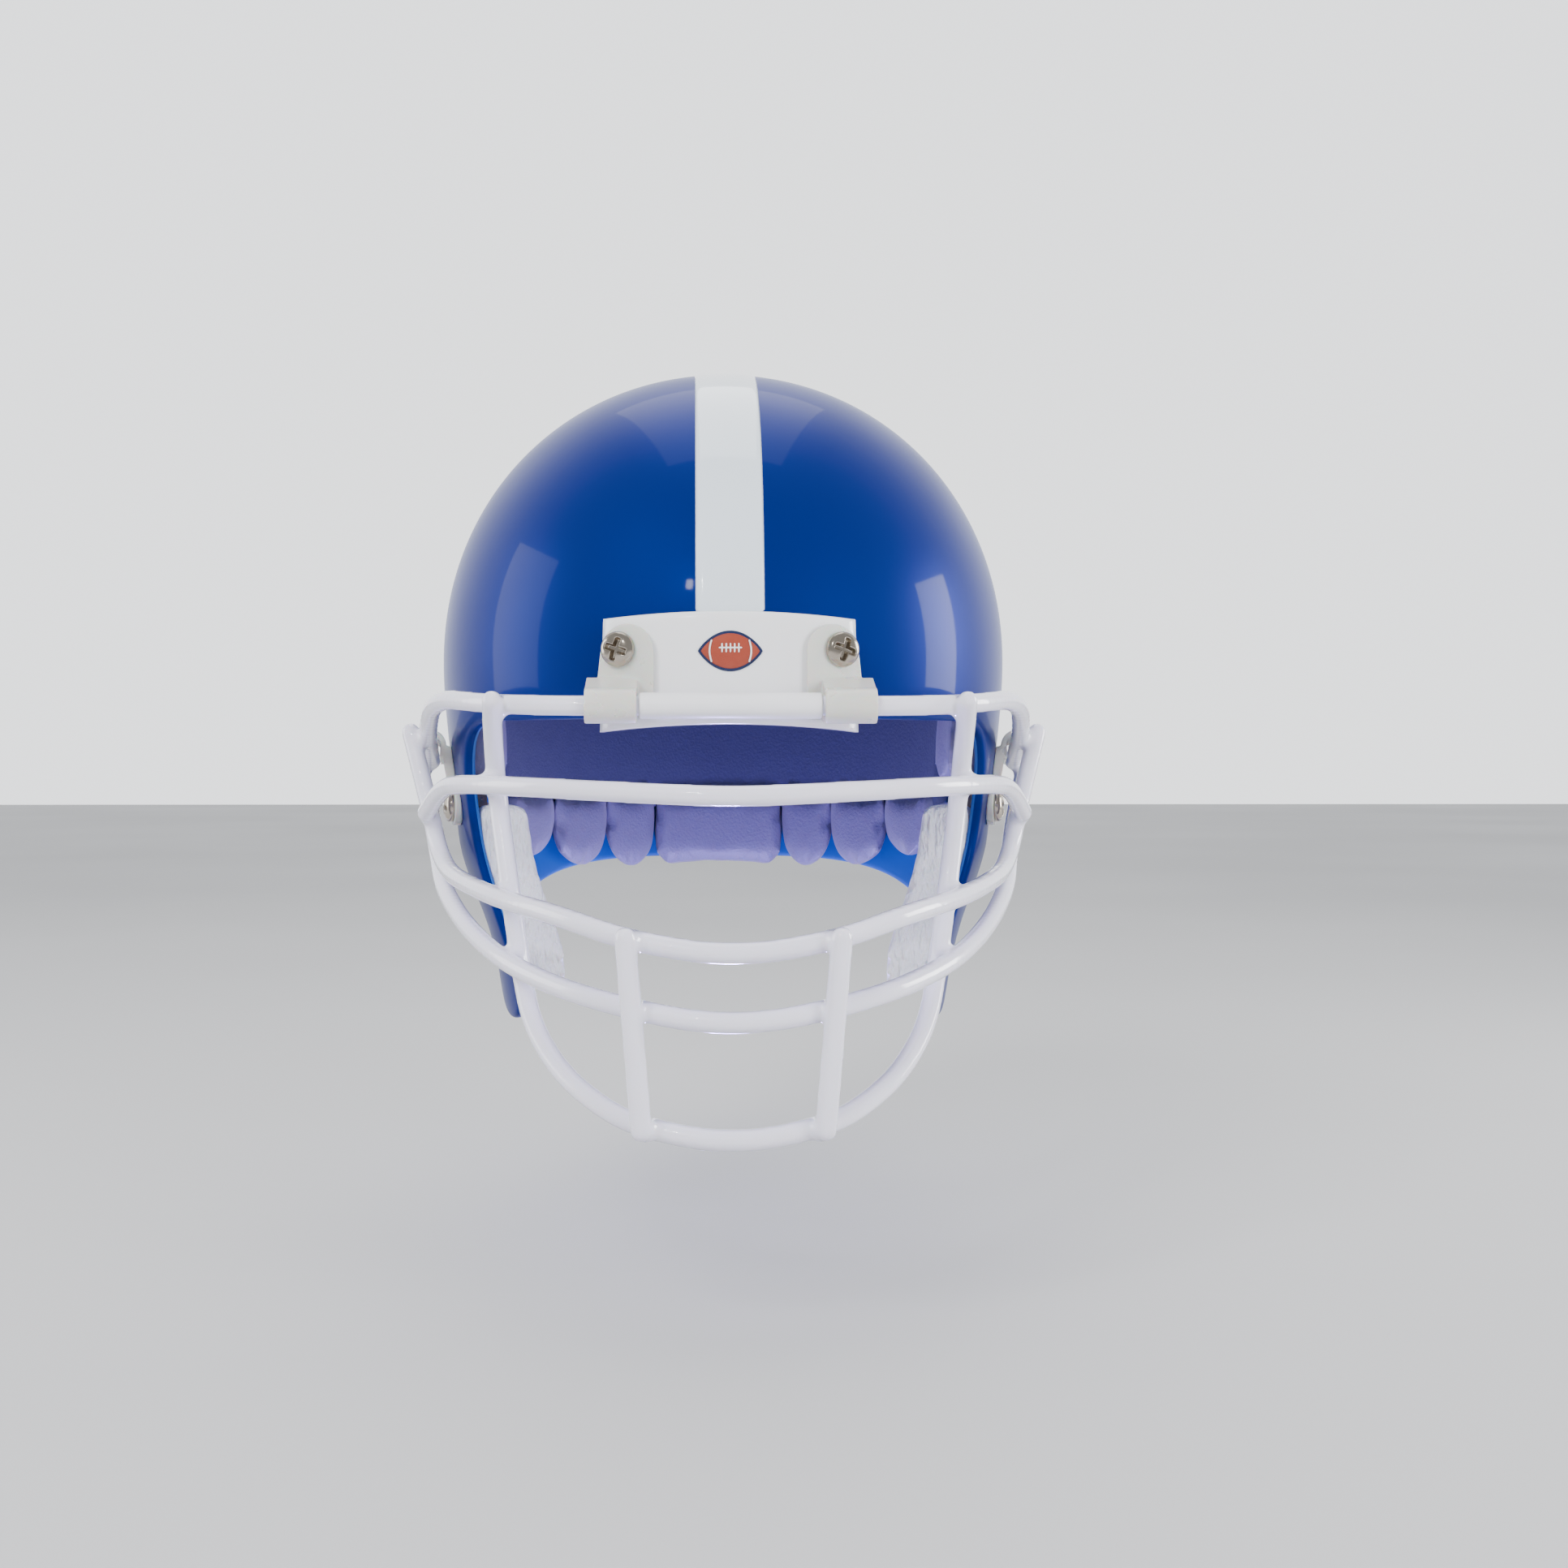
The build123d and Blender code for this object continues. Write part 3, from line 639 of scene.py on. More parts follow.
    def build_wall(self) -> bpy.types.Object:
        """Makes the shell: outer face, rim and inner face as one closed grid, then the ear holes."""
        turn, z, start = self.edge_curve()
        shares = np.linspace(0, 1, self.outer_rows)
        rim = self.rim(turn, z)
        outer = self.sheet(rim[0][0], rim[0][1], start, 0.0, shares)
        inner = self.sheet(rim[-1][0], rim[-1][1], start, -self.wall, shares)[::-1]
        lip = np.stack([self.form.from_turn(row_turn, row_z, depth) for row_turn, row_z, depth in rim[1:-1]])
        half = np.concatenate([outer, lip, inner])
        half[:, [0, -1], 0] = 0.0
        other = half[:, -2:0:-1].copy()
        other[..., 0] *= -1
        grid = np.concatenate([half, other], axis=1)
        rows, columns = grid.shape[:2]
        piece = make_object("shell_wall", grid.reshape(-1, 3), quads(rows, columns, True),
                            self.finishes.shell)
        self.cut_ear_holes(piece)
        piece.data.materials.append(self.finishes.inner)
        self.paint_inside(piece.data)
        self.form.squeeze_flanks(piece.data)
        piece.data.set_sharp_from_angle(angle=math.radians(50))
        return piece

    def cut_ear_holes(self, piece: bpy.types.Object) -> None:
        """Bores one hole through each side with a cylinder along X."""
        y, z, radius = self.ear_hole
        sides = 64
        angles = np.linspace(0, 2 * math.pi, sides, endpoint=False)
        ring = np.stack([np.zeros(sides), self.form.crown_y + y + radius * np.cos(angles),
                         z + radius * np.sin(angles)], axis=1)
        ends = np.array([-1.0, 1.0])[:, None, None] * (2 * self.form.half_width, 0, 0)
        grid = ring[None] + ends
        faces = [*quads(2, sides, True).tolist(), list(range(sides)),
                 list(range(2 * sides - 1, sides - 1, -1))]
        cutter = make_object("ear_cutter", grid.reshape(-1, 3), faces, self.finishes.shell)
        add_modifier(piece, "BOOLEAN", operation="DIFFERENCE", object=cutter, solver="EXACT")
        bake_modifiers(piece)
        bpy.data.objects.remove(cutter)

    def paint_inside(self, mesh: bpy.types.Mesh) -> None:
        """Gives the inner face its own finish: the faces nearer the inner form than the outer one."""
        centres = np.empty(len(mesh.polygons) * 3)
        mesh.polygons.foreach_get("center", centres)
        x, y, z = (centres.reshape(-1, 3) / MM).T
        y = y - self.form.crown_y
        reach = np.hypot(x, y / self.form.depth_ratio(y > 0))
        upper = z > self.form.widest + self.form.height * 0.5
        middle = -self.wall * 0.62
        inside_low = reach < self.form.half_breadth(z, middle)
        inside_high = z < self.form.height_at(reach, middle)
        inside = np.where(upper, inside_high, inside_low)
        mesh.polygons.foreach_set("material_index", inside.astype(np.int32))

    def build_stripe(self) -> bpy.types.Object:
        """Makes the stripe: a thin ribbon along the middle, from the bumper over the crown to the neck.

        Each row stands at one climb of the middle line. Low on the shell its points keep their
        height, and near the crown they keep their place front to back.
        """
        form = self.form
        low, high = node_box("centre_stripe")
        half, proud, rows = float(high[0]), float(high[2]) - form.top, 220
        top_columns = 17
        columns = 2 * top_columns - 2  # the underside shares the two edges
        start = math.asin((form.top * self.stripe_front - form.widest) / form.height)
        end = -(form.widest - low[2]) / form.half_width
        way = np.linspace(-(math.pi / 2 - start), math.pi / 2 - end, rows)
        climb = math.pi / 2 - np.abs(way)
        side = np.where(way < 0, -1.0, 1.0)
        level = np.where(climb > 0, form.widest + form.height * np.sin(climb),
                         form.widest + climb * form.half_width)
        radius = form.half_breadth(level)[:, None]
        share = np.linspace(-1, 1, top_columns)
        across = np.concatenate([share, share[::-1][1:-1]])
        lift = np.concatenate([proud * (1 - share**24), np.full(top_columns - 2, -0.6)])
        lift[[0, top_columns - 1]] = -0.1
        x = half * across[None, :]
        margin = np.repeat(lift[None, :], rows, axis=0)
        margin[[0, -1]] = -0.3
        ratio = form.depth_ratio(side > 0)[:, None]
        ease = smooth_step((radius / form.half_width - 0.5) / 0.3)
        plan = radius * (1 - ease) + np.sqrt(np.maximum(radius**2 - x**2, 0)) * ease
        z = np.where(level[:, None] > form.widest, form.height_at(np.hypot(x, plan)), level[:, None])
        base = np.stack(np.broadcast_arrays(x, form.crown_y + side[:, None] * ratio * plan, z), axis=-1)
        over = np.gradient(base[:, :top_columns], axis=1)
        over = np.concatenate([over, over[:, -2:0:-1]], axis=1)
        normal = np.cross(over, np.gradient(base, axis=0))
        normal /= np.linalg.norm(normal, axis=-1, keepdims=True) + 1e-9
        outward = np.sign(np.sum(normal * (base - (0, form.crown_y, form.widest)), axis=-1, keepdims=True))
        points = base + normal * outward * margin[..., None]
        caps = np.repeat(points.mean(axis=1)[:, None], columns, axis=1)
        points = np.concatenate([caps[:1], points, caps[-1:]])
        return make_object("stripe", points.reshape(-1, 3), quads(rows + 2, columns, True),
                           self.finishes.stripe)

    def build(self) -> None:
        """Makes and places the shell's own pieces."""
        enlist(self.build_wall(), "helmet", "shell_paint", "shell")
        enlist(self.build_stripe(), "helmet", "stripe_gloss", "centre_stripe")


# --- Mask ---


def tube(route: np.ndarray, radius: float, sides: int = 20,
         cap_rows: int = 5) -> tuple[np.ndarray, np.ndarray]:
    """A round tube with half-round ends: a circle carried along a route without twisting.

    Args:
        route: points along the middle.
        radius: the tube's radius.
        sides: vertices round the tube.
        cap_rows: rows of each rounded end.

    Returns:
        Points and faces.
    """
    along = np.gradient(route, axis=0)
    along /= np.linalg.norm(along, axis=1)[:, None]
    turn = np.linspace(math.pi / 2, 0, cap_rows, endpoint=False)
    start = route[0] - along[0] * radius * np.sin(turn)[:, None]
    end = route[-1] + along[-1] * radius * np.sin(turn[::-1])[:, None]
    middle = np.vstack([start, route, end])
    tangent = np.vstack([np.repeat(along[:1], cap_rows, axis=0), along,
                         np.repeat(along[-1:], cap_rows, axis=0)])
    size = np.concatenate([radius * np.cos(turn), np.full(len(route), radius),
                           radius * np.cos(turn[::-1])])
    normals = np.empty_like(tangent)
    normal = np.cross(tangent[0], (0.31, 0.17, 0.93))
    for row, direction in enumerate(tangent):
        normal = normal - direction * (normal @ direction)
        normal /= np.linalg.norm(normal)
        normals[row] = normal
    binormals = np.cross(tangent, normals)
    angle = np.linspace(0, 2 * math.pi, sides, endpoint=False)
    ring = normals[:, None] * np.cos(angle)[:, None] + binormals[:, None] * np.sin(angle)[:, None]
    points = middle[:, None] + ring * size[:, None, None]
    return points.reshape(-1, 3), quads(len(middle), sides, True)


def ball(centre: np.ndarray, radius: float, rows: int = 9,
         columns: int = 14) -> tuple[np.ndarray, np.ndarray]:
    """A sphere by latitude and longitude."""
    latitude = np.linspace(-math.pi / 2, math.pi / 2, rows)[:, None]
    longitude = np.linspace(0, 2 * math.pi, columns, endpoint=False)[None, :]
    points = np.stack(np.broadcast_arrays(np.cos(latitude) * np.cos(longitude),
                                          np.cos(latitude) * np.sin(longitude), np.sin(latitude)), axis=-1)
    return (centre + radius * points).reshape(-1, 3), quads(rows, columns, True)


@dataclass
class Mask:
    """The welded and dipped wire mask, and the sleeve on its brow bar."""

    form: HeadForm
    finishes: Finishes
    radius: float = 1.7
    post_reach: float = -84.0
    post_ends: tuple = ((16.2, 32.7), (13.8, 3.9))  # x and z, top and bottom
    spacing: float = 0.9  # between samples of a wire's route
    weld_gap: float = 0.5  # wires this far apart or nearer are welded
    grain: float = 0.42  # millimetres between points of the dipped skin
    weld_radius: float = 2.0
    # the first two points keep the bar straight through its clips' loops
    brow: tuple = ((16.5, -66, 67.9), (29.5, -66, 67.9), (40.2, -57, 68.5), (50.8, -41.5, 70),
                   (54.6, -24, 64.4), (56.2, -6, 59))
    eye: tuple = ((0, -76, 53.5), (17, -72.4, 54.2), (33, -63, 54.9), (44.8, -48.6, 55.2), (49.8, -38, 54.5),
                  (54.4, -26, 49.6))
    mouth: tuple = ((0, -84, 29.7), (16, -81.4, 32), (26.4, -74, 35), (37.4, -59.5, 36.6), (43.9, -47.5, 38),
                    (49.4, -33, 39.2), (52.6, -24.5, 43.4), (54, -23, 49.6), (58.2, -19.8, 64.4))
    lip: tuple = ((0, -86, 19.3), (20, -79.1, 22.3), (34.6, -63, 25.5), (43.6, -48, 29.9), (50.6, -30, 35.6),
                  (53.4, -17, 41), (56.9, -6, 51), (59.5, -5, 60.6))
    chin: tuple = ((0, -84, 1.7), (14.7, -81, 3.9), (22, -75, 7), (27.6, -68.5, 10.8), (32.2, -62, 17),
                   (34.3, -57.7, 26), (36.2, -55.5, 37.6), (39.4, -49.2, 56.4), (38.4, -62.8, 68.8))

    def routes(self) -> dict[str, np.ndarray]:
        """Smooth middles of all the wires, by name, in the row frame."""
        made = {}
        for name, half in (("brow_bar", self.brow), ("eye_bar", self.eye), ("mouth_bar", self.mouth),
                           ("lip_bar", self.lip), ("chin_bar", self.chin)):
            right = np.array(half, float)
            left = right[::-1] * (-1, 1, 1)
            left = left[left[:, 0] < 0]
            route = smooth_route(np.vstack([left, right]), 24)
            length = np.linalg.norm(np.diff(route, axis=0), axis=1).sum()
            made[name] = evenly(route, int(length / self.spacing))
        for name, side in (("post_left", 1), ("post_right", -1)):
            ends = np.array([(x * side, self.post_reach, z) for x, z in self.post_ends])
            made[name] = evenly(ends, 34)
        return {name: route + (0, self.form.crown_y, 0) for name, route in made.items()}

    def welds(self, routes: dict[str, np.ndarray]) -> list[tuple[np.ndarray, np.ndarray]]:
        """A bead between each pair of wires wherever they come within a wire's thickness.

        Args:
            routes: the wires' middles.

        Returns:
            Points and faces of the beads.
        """
        beads = []
        names = list(routes)
        for index, first in enumerate(names):
            for second in names[index + 1:]:
                gaps = np.linalg.norm(routes[first][:, None] - routes[second][None], axis=2)
                for side in (-1, 1):
                    on_side = routes[first][:, 0] * side > 0
                    if not on_side.any():
                        continue
                    part = np.where(on_side[:, None], gaps, np.inf)
                    a, b = np.unravel_index(np.argmin(part), part.shape)
                    if part[a, b] < 2 * self.radius + self.weld_gap:
                        beads.append(ball((routes[first][a] + routes[second][b]) / 2, self.weld_radius))
        return beads

    def build(self) -> None:
        """Makes the wires as one dipped skin: tubes and weld beads, remeshed and then eased."""
        routes = self.routes()
        parts = [tube(route, self.radius) for route in routes.values()] + self.welds(routes)
        points, faces = join_parts(parts)
        skin = make_object("mask_wires", points, faces, self.finishes.wire)
        soften(skin, self.grain, 9)
        skin.data.shade_smooth()
        enlist(skin, "mask", "wire_coating", *routes)
        self.build_sleeve()

    def build_sleeve(self) -> None:
        """Makes the sleeve: a ring section with rounded corners turned round the brow bar's axis."""
        low, high = node_box("bar_sleeve")
        centre = (low + high) / 2
        outer, half = (high[2] - low[2]) / 2, high[0]
        corner, bore, sides = 0.3, self.radius * 0.9, 40
        x = np.array([-half, -half, -half + corner * 0.3, -half + corner, half - corner, half - corner * 0.3,
                      half, half, -half])
        r = np.array([bore, outer - corner, outer - corner * 0.3, outer, outer, outer - corner * 0.3,
                      outer - corner, bore, bore])[:, None]
        angle = np.linspace(0, 2 * math.pi, sides, endpoint=False)
        points = np.stack(np.broadcast_arrays(x[:, None], centre[1] + r * np.cos(angle),
                                              centre[2] + r * np.sin(angle)), axis=-1)
        sleeve = make_object("brow_sleeve", points.reshape(-1, 3), quads(len(x), sides, True),
                             self.finishes.sleeve)
        sleeve.data.set_sharp_from_angle(angle=math.radians(50))
        enlist(sleeve, "mask", "sleeve_rubber", "bar_sleeve")


# --- Front bumper and badge ---


@dataclass
class FrontTrim:
    """The moulded bumper on the brow and the football badge on it."""

    form: HeadForm
    finishes: Finishes
    thick: float = 1.3
    lip_z: float = 63.8
    arch: float = 1.2  # how much the lower edge climbs in the middle
    wall: float = Shell.wall  # the shell's, which the lip wraps
    badge_z: float = 76.8
    badge_half: tuple[float, float] = (5.25, 3.3)  # half length and half height
    ball_half: tuple[float, float] = (4.75, 2.85)

    def build_bumper(self) -> None:
        """Makes the bumper: a plate over the brow, its lower lip flared and turned under the rim.

        The section runs down the outer face, round the lip and up the inner face. Every row keeps
        the plate's own width, and the side edges are rounded by pulling the margin in.
        """
        _, high = node_box("front_bumper")
        top, width = high[2], high[0]
        columns, wall = 61, self.wall
        u = np.linspace(-1, 1, columns)
        ease = 1 - np.abs(u) ** 14
        upper = top - u**2
        foot = self.lip_z + self.arch * (1 - u**2)
        # share of the way down the face, and height over the shell: top edge, face with its flare, lip
        profile = [(0.0, 0.15), (0.004, 0.75), (0.012, 1.08), (0.03, 1.25)]
        profile += [(share, self.thick + 0.9 * max(0.0, (share - 0.68) / 0.32) ** 2)
                    for share in np.linspace(0.06, 0.965, 34)]
        profile += [(0.985, 2.0), (0.998, 1.6), (1.0, 1.0), (1.0, 0.0), (1.0, -wall), (0.998, -wall - 0.9),
                    (0.98, -wall - 1.25)]
        rows = []
        for share, margin in profile:
            edge = margin * ease if margin > 0 else margin + 0 * u
            taper = 1.0 - 0.03 * (1 - share) - (0.02 if margin < 0 else 0.0)
            rows.append(self.form.from_front(width * u * taper, upper + (foot - upper) * share, edge))
        # height, height over the shell and share of the width: up behind the rim, then the plate's back
        inner = [(67.0, -wall - 1.3, 0.98), (68.8, -wall - 1.3, 0.98), (69.4, -wall - 0.95, 0.98),
                 (69.5, -wall - 0.5, 0.98), (69.3, -wall - 0.1, 0.98), (67.5, -wall - 0.08, 0.98),
                 (65.9, -wall - 0.08, 0.98), (65.9, 0.05, 0.98), (70.0, 0.05, 0.975),
                 (upper - 1.0, 0.05, 0.972)]
        rows += [self.form.from_front(width * u * taper, z + 0 * u, margin) for z, margin, taper in inner]
        loop = np.stack([*rows, rows[0]])
        faces = quads(len(loop), columns, False).tolist()
        faces.append([row * columns for row in range(len(rows))])
        faces.append([row * columns + columns - 1 for row in range(len(rows))][::-1])
        piece = make_object("bumper_plate", loop.reshape(-1, 3), faces, self.finishes.bumper)
        piece.data.set_sharp_from_angle(angle=math.radians(60))
        enlist(piece, "helmet", "bumper_plastic", "front_bumper")

    def on_plate(self, x: np.ndarray, rise: np.ndarray, proud: np.ndarray) -> np.ndarray:
        """Points over the bumper's face by place on the badge and height above the plate."""
        return self.form.from_front(x, self.badge_z + rise, self.thick + proud)

    def pointed(self, share: np.ndarray, half: tuple[float, float]) -> np.ndarray:
        """Half height of a pointed oval at a share of its half length: two arcs that meet at its ends."""
        return half[1] * (1 - share**2) ** 0.86

    def cushion(self, name: str, half: tuple[float, float], base: float, dome: float,
                finish: bpy.types.Material, power: float = 0.5) -> bpy.types.Object:
        """A domed pointed oval on the plate.

        Its height over the plate is base + dome (1 - q^2)^power, where q is the share of the way
        from the middle to the outline.

        Args:
            name: the piece's name.
            half: half length and half height.
            base: height of its edge above the plate.
            dome: how much higher its middle is.
            finish: its material.
            power: fullness of the dome.

        Returns:
            The new object.
        """
        columns, rows = 61, 12
        t = np.linspace(0, 2 * math.pi, columns, endpoint=False)
        x = half[0] * np.cos(t)
        z = np.sign(np.sin(t)) * self.pointed(np.cos(t), half)
        q = np.sin(np.linspace(0, math.pi / 2, rows))[:, None]
        face = self.on_plate(x * q, z * q, base + dome * (1 - q**2) ** power + 0 * t)
        foot = self.on_plate(x[None], z[None], np.full((1, columns), -0.1))
        middle = self.on_plate(x[None] * 0, z[None] * 0, np.full((1, columns), -0.1))
        grid = np.concatenate([face, foot, middle])
        return make_object(name, grid.reshape(-1, 3), quads(len(grid), columns, True), finish, 2e-7)

    def build_laces(self) -> bpy.types.Object:
        """Makes the ball's seam bar, its cross laces and the two end bands."""
        length, tall = self.ball_half
        height, dome = 0.26, 0.36  # the ball's edge and its rise, with the laces just over them
        t = np.linspace(-1, 1, 30)
        seam = height + 0.38 * (1 - (0.42 * t) ** 2) ** 0.5
        parts = [tube(self.on_plate(1.75 * t, 0.5 + 0 * t, seam), 0.13, 10, 3)]
        s = np.linspace(-1, 1, 12)
        for place in np.linspace(-1.35, 1.35, 5):
            cross = self.on_plate(place + 0 * s, 0.5 + 0.62 * s, height + dome - 0.05 * s**2)
            parts.append(tube(cross, 0.13, 8, 3))
        s = np.linspace(-1, 1, 24)
        for side in (-1, 1):
            x = side * (3.05 + 0.32 * (1 - s**2))
            z = s * self.pointed(np.abs(x) / length, self.ball_half) * 0.93
            q = np.hypot(x / length, z / tall)
            band = self.on_plate(x, z, height + dome * np.sqrt(np.maximum(1 - q**2, 0.02)))
            parts.append(tube(band, 0.14, 8, 3))
        points, faces = join_parts(parts)
        return make_object("badge_laces", points, faces, self.finishes.lace, 1e-7)

    def build(self) -> None:
        """Makes the bumper and the badge."""
        self.build_bumper()
        rim = self.cushion("badge_rim", self.badge_half, 0.14, 0.05, self.finishes.ink)
        leather = self.cushion("badge_ball", self.ball_half, 0.2, 0.36, self.finishes.ball)
        for piece in (rim, leather, self.build_laces()):
            enlist(piece, "helmet", "badge_print", "bumper_badge")


# --- Fasteners and clips ---


@dataclass
class Fasteners:
    """Cross-recessed screws with domed heads, the moulded clips, and the brass nuts behind them."""

    finishes: Finishes
    head_radius: float = 2.9
    head_rise: float = 1.7
    shank: float = 1.5
    shank_length: float = 7.0
    cross_turn: float = 18.0  # degrees
    cross_depth: float = 1.1
    clip_grain: float = 0.17

    def head_axis(self, node: str) -> tuple[np.ndarray, np.ndarray]:
        """Middle of a screw's head and the direction it faces, from the CAD piece's own points.

        The screw's longest axis is its own; the head is the end where it is widest.

        Args:
            node: the screw's CAD node.

        Returns:
            The top of the head and the unit direction outwards.
        """
        piece = node_object(node)
        place = np.array(piece.matrix_world)
        points = (vertex_array(piece.data) @ place[:3, :3].T + place[:3, 3]) / MM
        centre = points.mean(axis=0)
        _, _, axes = np.linalg.svd(points - centre, full_matrices=False)
        axis = axes[0]
        along = (points - centre) @ axis
        wide = np.linalg.norm(points - centre - along[:, None] * axis, axis=1)
        if along[np.argmax(wide)] < (along.max() + along.min()) / 2:
            axis, along = -axis, -along
        middle = centre + axis * along.max()
        flat = points - centre - ((points - centre) @ axis)[:, None] * axis
        return middle + flat.mean(axis=0), axis

    def cross_arm(self, across: np.ndarray, along: np.ndarray) -> np.ndarray:
        """Depth share of one arm of the cross, eased at its sides and its ends."""
        width = 1 / (1 + np.exp((np.abs(across) - 0.15) / 0.016))
        return width / (1 + np.exp((np.abs(along) - 0.6) / 0.03))

    def build_head(self, node: str, name: str) -> None:
        """Makes a screw: a domed head with a cross recess over a plain shank.

        In polar form round the axis, with q the share of the head's radius, its height is
        rise (1/4 + 3/4 (1 - q^2.6)^0.5) less the recess, which is deep within either arm of the
        cross and eases to nothing at the arm's end.

        Args:
            node: the CAD screw it replaces.
            name: the new piece's name.
        """
        top, axis = self.head_axis(node)
        side = np.cross(axis, (0, 0, 1.0))
        side /= np.linalg.norm(side)
        up = np.cross(side, axis)
        spokes = 96
        q = np.linspace(1, 0, 40)[:, None]
        spoke = np.linspace(0, 2 * math.pi, spokes, endpoint=False)[None, :]
        angle = spoke + math.radians(self.cross_turn)
        a, b = q * np.cos(spoke), q * np.sin(spoke)
        recess = self.cross_depth * np.maximum(self.cross_arm(a, b), self.cross_arm(b, a))
        dome = self.head_rise * (0.25 + 0.75 * (1 - q**2.6) ** 0.5)
        size = np.linalg.norm(np.diff(np.array(node_box(node)), axis=0))
        tip = -min(size, self.shank_length)
        # from the closed tip up the shank, out under the head and up its side
        foot_r = np.array([0, self.shank, self.shank, self.head_radius * 0.98, self.head_radius])[:, None]
        foot_h = np.array([tip, tip, -self.head_rise, -self.head_rise, -self.head_rise * 0.9])[:, None]
        radius = np.vstack([foot_r + 0 * angle, self.head_radius * q + 0 * angle])
        height = np.vstack([foot_h + 0 * angle, dome - recess - self.head_rise])
        points = (top + axis * height[..., None] + side * (radius * np.cos(angle))[..., None]
                  + up * (radius * np.sin(angle))[..., None])
        screw = make_object(name, points.reshape(-1, 3), quads(len(points), spokes, True),
                            self.finishes.nickel, 1e-7)
        screw.data.set_sharp_from_angle(angle=math.radians(55))
        enlist(screw, frame_body(node), "screw_steel", node)

    def build_clip(self, node: str, name: str) -> None:
        """Makes a moulded clip: the CAD clip's own form, remeshed finely and its edges softened.

        Args:
            node: the CAD clip it replaces.
            name: the new piece's name.
        """
        clip = copy_of(node, name, self.finishes.clip)
        soften(clip, self.clip_grain, 6)
        clip.data.shade_smooth()
        enlist(clip, frame_body(node), "clip_plastic", node)

    def build(self) -> None:
        """Makes all four screws and all four clips, and gives the nuts their brass."""
        for side in ("left", "right"):
            self.build_head(f"brow_screw_{side}", f"brow_machine_screw_{side}")
            self.build_head(f"side_screw_{side}", f"side_machine_screw_{side}")
            self.build_clip(f"brow_clip_{side}", f"brow_loop_{side}")
            self.build_clip(f"side_clip_{side}", f"side_hook_{side}")
            dress_node(f"brow_nut_{side}", self.finishes.brass)
            dress_node(f"side_nut_{side}", self.finishes.brass)


def frame_body(node: str) -> str:
    """Name of the body a CAD node belongs to."""
    bodies = frame["record"]["behaviour"]["bodies"]
    return next(name for name, members in bodies.items() if node in members)


def node_object(node: str) -> bpy.types.Object:
    """The CAD node's own object."""
    return bpy.data.objects[node]


def copy_of(node: str, name: str, finish: bpy.types.Material) -> bpy.types.Object:
    """A new object with a copy of a CAD node's mesh in world place, welded and faced outwards.

    Args:
        node: the CAD node.
        name: the new piece's name.
        finish: its material.

    Returns:
        The new object.
    """
    source = node_object(node)
    work = bmesh.new()
    work.from_mesh(source.data)
    bmesh.ops.transform(work, matrix=source.matrix_world, verts=work.verts)
    bmesh.ops.remove_doubles(work, verts=work.verts, dist=1e-6)
    bmesh.ops.recalc_face_normals(work, faces=work.faces)
    mesh = bpy.data.meshes.new(name)
    work.to_mesh(mesh)
    work.free()
    mesh.materials.append(finish)
    return link(name, mesh)


def dress_node(node: str, finish: bpy.types.Material) -> None:
    """Gives a CAD node that stays in the scene its finish.

    Args:
        node: the CAD node.
        finish: its material.
    """
    piece = node_object(node)
    piece.data.materials.clear()
    piece.data.materials.append(finish)


# --- Padding ---


@dataclass(frozen=True)
class Cushion:
    """One inflated pad: the CAD block it starts from and how it is blown up."""

    node: str
    name: str
    slot: str
    pressure: float = 4.0
    grain: float = 0.75  # millimetres
    cap: float = 0.9  # furthest any point may move, in millimetres
    petal: float = 0.0  # share of the height over which the lower end narrows to a point
    ease: int = 4  # smoothing passes after it is blown up
    reach_up: float = 0.0  # how far the top is drawn up over the panel, in millimetres


